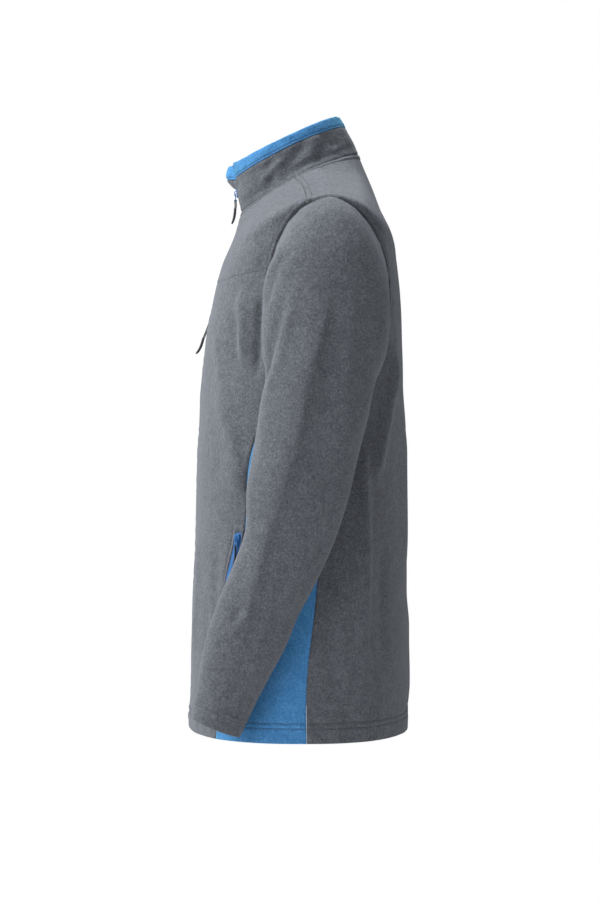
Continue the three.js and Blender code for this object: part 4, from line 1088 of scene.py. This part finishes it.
# Collar.
# A stand collar of one layer of grey fleece round the neck, open at the front, sewn to the yokes
# and the back. It is soft and buckles a little where the neck turns.
BINDING_LEVEL = 7
COLLAR_FOLDS = [
    (6, 7, -2.2, [[-43, 24], [-40, 14], [-36, 2], [-34, -8]]),
    (7, 8, -2.6, [[7, 48], [-2, 34], [-12, 18], [-20, 4]]),
    (6, 5, 2.6, [[-18, 27], [-30, 16], [-42, 4], [-48, -6]]),
    (9, 8, 2.0, [[24, 58], [18, 40], [8, 24]]),
    (6, 6, -1.8, [[34, 52], [30, 38], [26, 26]]),
]
REAR_COLLAR_FOLDS = [
    (8, 8, -2.6, [[118, 12], [124, -10], [128, -26]]),
    (10, 8, 1.8, [[150, 14], [152, -8], [150, -28]]),
    (9, 8, -2.2, [[196, 16], [192, -6], [190, -28]]),
    (8, 8, -2.6, [[248, 14], [242, -8], [240, -26]]),
    (8, 7, -2.8, [[292, 12], [300, -6], [306, -22]]),
    (7, 6, 2.0, [[312, 12], [320, -4], [326, -22]]),
]
COLLAR_ARC = 72  # mm round the neck for a radian


collar_folds = [flat_fold(*fold[:3], seen_from_side(fold[3], 60, -15, COLLAR_TOP_LEVEL), COLLAR_ARC)
                for fold in COLLAR_FOLDS]
collar_folds += [flat_fold(*fold[:3], np.array(fold[3], float) * [math.radians(1), 1], COLLAR_ARC)
                 for fold in REAR_COLLAR_FOLDS]


def collar_height(angle, level, face):
    """The collar's own buckles, faded at its seam and under the stiffer binding."""
    fold = fold_height(collar_folds, wrapped(angle) % (2 * np.pi) * COLLAR_ARC, level)
    fade = smooth((level - NECK_LEVEL) / 12) * (1 - 0.75 * smooth((level - BINDING_LEVEL + 10) / 14))
    return (fold + 0.45 * swell(face, 31, 60, 22)) * fade


collar_v = crowded(43, 1.7)
collar_u = crowded(420, 1.9)
collar_levels = NECK_LEVEL + collar_v * (BINDING_LEVEL - NECK_LEVEL)
collar_edge = front_edge_angle(collar_levels)[:, None]
collar_grid = np.stack(np.broadcast_arrays(
    collar_edge + collar_u[None] * (2 * np.pi - 2 * collar_edge), collar_levels[:, None]), axis=-1)
base = body_face(collar_grid[..., 0], collar_grid[..., 1])
height = collar_height(collar_grid[..., 0], collar_grid[..., 1], base)
height += seam_height(base, base[0], (), 32, 0.35) + seam_height(base, base[-1], (), 33, 0.2)
height += seam_height(base, base[:, 0], (EDGE_ROW,), 34, 0.3, 0.7)
height += seam_height(base, base[:, -1], (EDGE_ROW,), 35, 0.3, 0.7)
collar, face = body_shell("collar_cloth", collar_grid, height, grey_fleece)
stitches("collar_stitches", base, face, False, [("left", ALL, (EDGE_ROW,)), ("right", ALL, (EDGE_ROW,))])
sewn_in("collar")

# Collar binding.
# A strip of the bright blue fleece folded over the collar's top edge and stitched through near
# its lower edge, so it is thicker than the collar and its top is a soft round fold.
BINDING_WALL = 3.4
binding_rows = np.array([0, 0.25, 0.6, 1.1, 1.8, 2.4, 3.0, 4, 5.5])
binding_v = crowded(17, 1.4, binding_rows, np.array([0, 0.12, 0.35, 0.7, 1.1, 1.6, 2.4]))
binding_levels = BINDING_LEVEL + binding_v * (COLLAR_TOP_LEVEL - BINDING_LEVEL)
binding_edge = front_edge_angle(binding_levels)[:, None]
binding_grid = np.stack(np.broadcast_arrays(
    binding_edge + collar_u[None] * (2 * np.pi - 2 * binding_edge), binding_levels[:, None]), axis=-1)
base = body_face(binding_grid[..., 0], binding_grid[..., 1])
from_top = nearest(base, base[-1])
from_low = nearest(base, base[0])
from_ends = np.minimum(nearest(base, base[:, 0]), nearest(base, base[:, -1]))
round_top = 1.6 * (1 - np.sqrt(np.clip(1 - (1 - np.clip(from_top / 1.6, 0, 1)) ** 2, 0, 1)))
round_end = 0.8 * (1 - np.sqrt(np.clip(1 - (1 - np.clip(from_ends / 0.8, 0, 1)) ** 2, 0, 1)))
plump = 0.45 + 0.35 * smooth(from_low / 5) * smooth(from_top / 4)
row = -0.6 * bell(from_low - 2.4, 0.8) - 0.35 * bell(from_low, 0.5)
height = collar_height(binding_grid[..., 0], binding_grid[..., 1], base)
ripple = 0.28 * swell(base, 36, 24, 9)
height += plump + row + ripple - round_top - round_end
binding, face = body_shell("collar_binding_cloth", binding_grid, height, blue_fleece,
                           wall=BINDING_WALL - 0.45,
                           lift=round_top + round_end - 0.5 * smooth(from_low / 4))
stitches("collar_binding_stitches", base, face, False, [("low", ALL, (2.4,))])
sewn_in("collar_binding")

# Main zip.
# Two woven blue tapes sewn behind the front edges from the hem to the collar's top, each with a
# nylon coil along its inner edge. The coils mesh up to the slider and part above it.
TAPE_THICK = 1.6
TAPE_SUNK = 1.9
TAPE_END = 2


def opening_angle(levels):
    """The angle of a tape's inner edge, at half the opening."""
    return np.arctan(zip_opening(levels) / row_at(RINGS, levels)[..., 1])


def woven_tape(name, colour, dark, seed):
    """Zip tape: a close woven band, seen as fine ribs along the piece's own grid."""
    finish, nodes, link, shader, where = new_finish(name)
    ribs = nodes.new("ShaderNodeTexWave")
    ribs.bands_direction = "Z"
    ribs.inputs["Scale"].default_value = 420
    ribs.inputs["Distortion"].default_value = 1.2
    ribs.inputs["Detail"].default_value = 2
    link(where, ribs.inputs["Vector"])
    grain = nodes.new("ShaderNodeTexNoise")
    grain.inputs["Scale"].default_value = 900
    grain.inputs["Detail"].default_value = 3
    link(where, grain.inputs["Vector"])
    mix = nodes.new("ShaderNodeMath")
    mix.operation = "MULTIPLY_ADD"
    mix.inputs[1].default_value = 0.5
    link(ribs.outputs["Fac"], mix.inputs[0])
    link(grain.outputs["Fac"], mix.inputs[2])
    toned(nodes, link, mix.outputs[0], (0.3, dark), (0.9, colour), shader)
    raised(nodes, link, mix.outputs[0], 0.4, 0.0003, shader)
    shader.inputs["Roughness"].default_value = 0.75
    shader.inputs["Sheen Weight"].default_value = 0.15
    return finish


zip_tape = woven_tape("zip_tape", (0.045, 0.2, 0.5), (0.022, 0.115, 0.33), 5)
coil_nylon = moulded("coil_nylon", (0.05, 0.22, 0.52), (0.03, 0.15, 0.4), 0.35, 600, 0.0001)
COIL_PITCH = 1.7


def together(name, pieces):
    """Several pieces of one finish as one piece: their points and faces, one after another."""
    points = []
    faces = []
    for piece in pieces:
        flat = np.empty(len(piece.data.vertices) * 3)
        piece.data.vertices.foreach_get("co", flat)
        corners = np.empty(len(piece.data.loops), int)
        piece.data.loops.foreach_get("vertex_index", corners)
        faces.append(corners.reshape(-1, 4) + sum(len(part) for part in points))
        points.append(flat.reshape(-1, 3))
    mesh = bpy.data.meshes.new(name)
    mesh.from_pydata(np.concatenate(points).tolist(), [], np.concatenate(faces).tolist())
    mesh.shade_smooth()
    mesh.materials.append(pieces[0].data.materials[0])
    for piece in pieces:
        bpy.data.objects.remove(piece)
    whole = bpy.data.objects.new(name, mesh)
    bpy.context.collection.objects.link(whole)
    return whole


halves = []
for name, mirrored, seed in SIDES:
    side = -1 if mirrored else 1
    levels = HEM_LEVEL + TAPE_END + crowded(708, 2.6, binding_rows, binding_rows) * (
        COLLAR_TOP_LEVEL - HEM_LEVEL - 2 * TAPE_END)
    u = np.array([0, 0.08, 0.2, 0.35, 0.5, 0.65, 0.8, 1])[None, :, None]
    inner_edge = np.stack([opening_angle(levels), levels], axis=1)[:, None]
    grid = inner_edge * (1 - u) + on_front_edge(levels)[:, None] * u
    height = np.full(grid.shape[:2], -TAPE_SUNK)
    height = height + 0.25 * bell(u[..., 0] - 0.62, 0.2) - 0.2 * smooth(u[..., 0] * 3 - 2)
    strip = shell_of("tape_strip_" + name, grid, height, zip_tape, TAPE_THICK, mirrored)
    halves.append(strip[0])
    face = strip[1]
    edge = face[:, 0]
    marks = even_steps(edge, COIL_PITCH, 0.0 if mirrored else COIL_PITCH / 2)
    angle = side * inner_edge[:, 0, 0]
    normal = normal_of(body_face, angle, levels, 0.01, 2)
    outwards = face[:, -1] - face[:, 0]
    outwards /= np.linalg.norm(outwards, axis=1, keepdims=True)
    centres = edge + outwards * 1.1 + normal * 0.55
    coil = capsules("main_coil_" + name, picked(centres, marks), picked(outwards, marks),
                    picked(normal, marks), 3.6, 1.15, 1.5, coil_nylon)
main_tapes = together("main_zip_tapes", halves)
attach(main_tapes, "jacket")
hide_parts("main_tape_left", "main_tape_right")

# Pocket zips.
# Three closed zips with narrow blue tapes and coils, one on the right chest and one by each side
# seam. Each lies between two soft lips of fleece that are stitched down along it.
POCKET_HALF = 5.5
POCKET_THICK = 1.4
LAID_GAP = 0.3


def pocket_zip(name, body_side, top, length, line_at, seed):
    """A strip of tape and its meshed coils, between two levels, on a line of the body that line_at
    gives at any offset in mm across it."""
    levels = top - length * crowded(length, 2.2, binding_rows, binding_rows)[::-1]
    offsets = np.array([-1, -0.93, -0.8, -0.6, -0.35, 0, 0.35, 0.6, 0.8, 0.93, 1]) * POCKET_HALF
    angles = line_at(offsets[None, :], levels[:, None])
    grid = np.stack([angles, np.broadcast_to(levels[:, None], angles.shape)], axis=-1)
    sag = 0.35 * bell(np.abs(offsets) - 4.6, 1.2)
    height = np.broadcast_to(POCKET_THICK + LAID_GAP - 0.45 - sag, angles.shape)
    strip, face = body_shell(name + "_tape", grid, height, zip_tape, wall=POCKET_THICK - 0.5,
                             mirrored=body_side < 0)
    middle = len(offsets) // 2
    normal = normal_of(body_face, body_side * angles[:, middle], levels, 0.01, 2)
    across = face[:, middle + 1] - face[:, middle - 1]
    across /= np.linalg.norm(across, axis=1, keepdims=True)
    for way, start in ((-1, 0.0), (1, 0.7)):
        centres = face[:, middle] + across * way * 1.0 + normal * 0.35
        marks = even_steps(centres, 1.4, start)
        capsules(name + "_coil_%d" % (way + 1), picked(centres, marks), picked(across, marks),
                              picked(normal, marks), 3.0, 0.95, 1.1, coil_nylon)
    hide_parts(name)


pocket_zip("chest_zip", -1, CHEST_ZIP_TOP, CHEST_ZIP_LENGTH, chest_line, 41)
pocket_zip("hand_zip_left", 1, HAND_ZIP_TOP, HAND_ZIP_LENGTH, hand_line, 42)
pocket_zip("hand_zip_right", -1, HAND_ZIP_TOP, HAND_ZIP_LENGTH, hand_line, 43)

# Zip sliders and their pulls.
# Each zip has a small blue enamelled slider whose arch holds a flat blue tab with an eye. A thin
# dark cord is doubled through the eye, and its ends are held in a dark moulded grip, bent at its
# tip. The tab, cord and grip hang from the tab's top bar and ride together as one body.
enamel = moulded("blue_enamel", (0.05, 0.21, 0.5), (0.035, 0.16, 0.42), 0.38, 900, 0.00004, 0.2, 0.15)
grip_rubber = moulded("grip_moulding", (0.032, 0.033, 0.04), (0.02, 0.021, 0.027), 0.5, 700, 0.00008)


def braided_cord(name):
    """Fine braid: slanting ribs of dark yarn, with painted highlight on the raised ribs and painted shade in
    the grooves between them.
    """
    finish, nodes, link, shader, where = new_finish(name)
    heights = []
    for turn in (0.6, -0.6):
        place = nodes.new("ShaderNodeMapping")
        place.inputs["Rotation"].default_value = (turn, turn, 0)
        link(where, place.inputs["Vector"])
        rib = nodes.new("ShaderNodeTexWave")
        rib.bands_direction = "Z"
        rib.inputs["Scale"].default_value = 380
        link(place.outputs["Vector"], rib.inputs["Vector"])
        heights.append(rib.outputs["Fac"])
    higher = nodes.new("ShaderNodeMath")
    higher.operation = "MAXIMUM"
    link(heights[0], higher.inputs[0])
    link(heights[1], higher.inputs[1])
    # Painted highlight and shade: the colour runs from dark in the grooves to light on the rib crests,
    # following the same height as the bump.
    toned(nodes, link, higher.outputs[0], (0, (0.012, 0.012, 0.016)), (1, (0.055, 0.056, 0.068)), shader)
    raised(nodes, link, higher.outputs[0], 0.5, 0.0003, shader)
    shader.inputs["Roughness"].default_value = 0.85
    return finish


cord_yarn = braided_cord("puller_cord")
SLIDER_WIDTH = 8.6
SLIDER_LENGTH = 10.5
SLIDER_BASE = 2.6
ARCH_HALF = 3.6
ARCH_WIDTH = 1.8
ARCH_INNER = 2
ARCH_THICK = 1
TAB_BAR = 1.2
TAB_HOLE = 5
TAB_HOLE_WIDTH = 2.6
TAB_WIDTH = 5.2
TAB_LENGTH = 10
TAB_THICK = 1.2
TAB_EYE = 2.2
GRIP_SECTIONS = np.array([
    [0, 1.35, 1.15], [0.02, 1.8, 1.45], [0.06, 2.15, 1.7], [0.11, 2.2, 1.72], [0.13, 1.95, 1.5],
    [0.16, 2.2, 1.66], [0.35, 2.3, 1.7], [0.55, 2.2, 1.62], [0.7, 2.1, 1.5], [0.85, 1.9, 1.3],
    [0.94, 1.6, 1.1], [0.985, 1.2, 0.8], [1, 0.75, 0.5]])


def rounded(corners, radius, steps=4):
    """An outline with each corner replaced by a quadratic curve that starts and ends a radius away."""
    corners = np.asarray(corners, float)
    before = np.roll(corners, 1, axis=0) - corners
    after = np.roll(corners, -1, axis=0) - corners
    before /= np.linalg.norm(before, axis=1, keepdims=True)
    after /= np.linalg.norm(after, axis=1, keepdims=True)
    t = np.linspace(0, 1, steps)[None, :, None]
    start = (corners + before * radius)[:, None]
    end = (corners + after * radius)[:, None]
    return ((1 - t) ** 2 * start + 2 * t * (1 - t) * corners[:, None] + t**2 * end).reshape(-1, 2)


def flat_plate(name, outlines, thick, bevel, axes, place, material):
    """A plate in mm with holes: a flat curve filled between its outlines and given a rounded rim,
    then turned to its axes and moved to its place."""
    curve = bpy.data.curves.new(name, "CURVE")
    curve.dimensions = "2D"
    curve.fill_mode = "BOTH"
    curve.extrude = thick / 2 - bevel
    curve.bevel_depth = bevel
    curve.bevel_resolution = 1
    curve.offset = -bevel
    for outline in outlines:
        spline = curve.splines.new("POLY")
        spline.points.add(len(outline) - 1)
        spline.points.foreach_set("co", np.column_stack(
            [outline, np.zeros(len(outline)), np.ones(len(outline))]).ravel())
        spline.use_cyclic_u = True
    drawn = bpy.data.objects.new(name + "_outline", curve)
    bpy.context.collection.objects.link(drawn)
    bpy.context.view_layer.update()
    mesh = bpy.data.meshes.new_from_object(drawn.evaluated_get(bpy.context.evaluated_depsgraph_get()))
    bpy.data.objects.remove(drawn)
    work = bmesh.new()
    work.from_mesh(mesh)
    bmesh.ops.remove_doubles(work, verts=work.verts, dist=1e-4)
    bmesh.ops.recalc_face_normals(work, faces=work.faces)
    work.to_mesh(mesh)
    work.free()
    flat = np.empty(len(mesh.vertices) * 3)
    mesh.vertices.foreach_get("co", flat)
    points = (flat.reshape(-1, 3) @ np.asarray(axes) + place) * 0.001
    mesh.vertices.foreach_set("co", points.ravel())
    mesh.materials.clear()
    mesh.materials.append(material)
    mesh.name = name
    piece = bpy.data.objects.new(name, mesh)
    bpy.context.collection.objects.link(piece)
    return piece


def swept(name, path, across, wide, thick, sides, material, power=2.0):
    """A closed bar in mm along a path: ovals of half width and half thickness across it, the first
    and last closed flat."""
    way = np.gradient(path, axis=0)
    way /= np.linalg.norm(way, axis=1, keepdims=True)
    face = np.cross(across, way)
    face /= np.linalg.norm(face, axis=1, keepdims=True)
    side = np.cross(way, face)
    c, s = oval(np.linspace(0, 2 * np.pi, sides, endpoint=False), power)
    rings = (path[:, None] + side[:, None] * (c[None] * np.asarray(wide)[:, None])[..., None]
             + face[:, None] * (s[None] * np.asarray(thick)[:, None])[..., None])
    faces = quads_of(len(path), sides, True, False).tolist()
    faces += [list(range(sides))[::-1], [len(path) * sides - sides + k for k in range(sides)]]
    piece = new_piece(name, (rings.reshape(-1, 3) * 0.001).tolist(), faces, material)
    return piece


def curved(points, count):
    """Places on the quadratic curve through three guide points."""
    t = np.linspace(0, 1, count)[:, None]
    return (1 - t) ** 2 * points[0] + 2 * t * (1 - t) * points[1] + t**2 * points[2]


def zip_pull(name, angle, level, out, hang):
    """One slider with its tab, cord and grip. The pull's path below the axle is given as
    [outwards, downwards]: the tab's end, the cord's end, the grip's bend and its tip."""
    angle = np.array([angle])
    level = np.array([level])
    seat = body_point(angle, level, out)[0]
    normal = normal_of(body_face, angle, level, 0.01, 2)[0]
    up = np.array([0.0, 0.0, 1.0])
    across = np.cross(up, normal)
    across /= np.linalg.norm(across)
    along = np.cross(normal, across)
    half = SLIDER_WIDTH / 2
    shield = rounded([[-0.64 * half, -SLIDER_LENGTH / 2], [0.64 * half, -SLIDER_LENGTH / 2],
                      [half, 0.1 * SLIDER_LENGTH], [0.84 * half, SLIDER_LENGTH / 2],
                      [-0.84 * half, SLIDER_LENGTH / 2], [-half, 0.1 * SLIDER_LENGTH]], 1.2)
    foot = seat + normal * (LAID_GAP + SLIDER_BASE / 2)
    slider = flat_plate("slider_%s_plate" % name, [shield], SLIDER_BASE, 0.6, [across, along, normal],
                        foot, enamel)
    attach(slider, "jacket")
    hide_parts("slider_" + name)
    top = seat + normal * (LAID_GAP + SLIDER_BASE)
    turn = np.linspace(-0.08, 1.08, 15) * np.pi
    rise = ARCH_INNER + ARCH_THICK / 2
    c, s = oval(turn, 3.0)
    arch_path = (top + along * (-c * (ARCH_HALF - ARCH_THICK / 2))[:, None]
                 + normal * (s * rise)[:, None])
    arch = swept("slider_%s_arch" % name, arch_path, np.tile(across, (15, 1)),
                 np.full(15, ARCH_WIDTH / 2), np.full(15, ARCH_THICK / 2), 10, enamel, 3.0)
    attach(arch, "jacket")

    axle = top + normal * ARCH_INNER / 2
    outwards = np.cross(across, up)
    tab_end, cord_end, grip_bend, grip_tip = [axle + outwards * away - up * down for away, down in hang]
    tab_up = axle - tab_end
    tab_up /= np.linalg.norm(tab_up)
    outline = rounded([[-TAB_WIDTH / 2, -TAB_LENGTH], [TAB_WIDTH / 2, -TAB_LENGTH],
                       [TAB_WIDTH / 2, TAB_BAR / 2], [-TAB_WIDTH / 2, TAB_BAR / 2]], 1.1, 6)
    hole = rounded([[-TAB_HOLE_WIDTH / 2, -TAB_HOLE], [TAB_HOLE_WIDTH / 2, -TAB_HOLE],
                    [TAB_HOLE_WIDTH / 2, -TAB_BAR / 2], [-TAB_HOLE_WIDTH / 2, -TAB_BAR / 2]], 0.5, 4)
    ring = np.linspace(0, 2 * np.pi, 16, endpoint=False)
    eye = np.stack([TAB_EYE / 2 * np.cos(ring), TAB_EYE / 2 * np.sin(ring) - TAB_LENGTH + 1.1 * TAB_EYE], 1)
    tab = flat_plate("tab_%s_plate" % name, [outline, hole, eye], TAB_THICK, 0.25,
                     [across, tab_up, np.cross(across, tab_up)], axle, enamel)
    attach(tab, "pull_" + name)
    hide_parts("tab_" + name)

    eye_place = axle - tab_up * (TAB_LENGTH - 1.1 * TAB_EYE)
    below = axle - tab_up * (TAB_LENGTH + 1.2)
    front = np.cross(across, tab_up)
    tail = (cord_end - grip_bend) * -0.12
    side_path = curved([below, (below + cord_end) / 2 - outwards * 1.0, cord_end + tail], 16)
    strands = []
    for way in (-1, 1):
        loop = np.stack([eye_place, eye_place + front * way * 1.25 - tab_up * 0.7,
                         below + front * way * 0.85 + tab_up * 0.6])
        strand = np.vstack([loop, side_path[1:] + front * way * 0.82])
        count = len(strand)
        strands.append(swept("cord_%s_strand_%d" % (name, way + 1), strand, np.tile(across, (count, 1)),
                             np.full(count, 0.72), np.full(count, 0.72), 10, cord_yarn))
    for strand in strands:
        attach(strand, "pull_" + name)
    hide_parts("cord_" + name)

    shares = np.linspace(0, 1, 41)
    grip_path = curved([cord_end, grip_bend, grip_tip], 41)
    widths = np.interp(shares, GRIP_SECTIONS[:, 0], GRIP_SECTIONS[:, 1])
    thicks = np.interp(shares, GRIP_SECTIONS[:, 0], GRIP_SECTIONS[:, 2])
    grip = swept("grip_%s_moulding" % name, grip_path, np.tile(across, (41, 1)), widths, thicks, 18,
                 grip_rubber, 2.3)
    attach(grip, "pull_" + name)
    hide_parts("grip_" + name)


SLIDER_BELOW_END = 7
pocket_out = POCKET_THICK + LAID_GAP
chest_level = CHEST_ZIP_TOP - SLIDER_BELOW_END
hand_level = HAND_ZIP_TOP - SLIDER_BELOW_END
zero = np.zeros(1)
chest_angle = float(chest_line(zero, np.array([chest_level]))[0])
hand_angle = float(hand_line(zero, np.array([hand_level]))[0])
HAND_HANG = [[0.5, 10], [2, 26], [3, 41], [7, 47]]
zip_pull("main", 0.0, SLIDER_LEVEL, -TAPE_SUNK, [[0.2, 10], [0.6, 18], [0.8, 31], [5, 38.5]])
zip_pull("chest", -chest_angle, chest_level, pocket_out, [[2.5, 11], [12, 34], [15.5, 50], [22, 55]])
zip_pull("hand_left", hand_angle, hand_level, pocket_out, HAND_HANG)
zip_pull("hand_right", -hand_angle, hand_level, pocket_out, HAND_HANG)
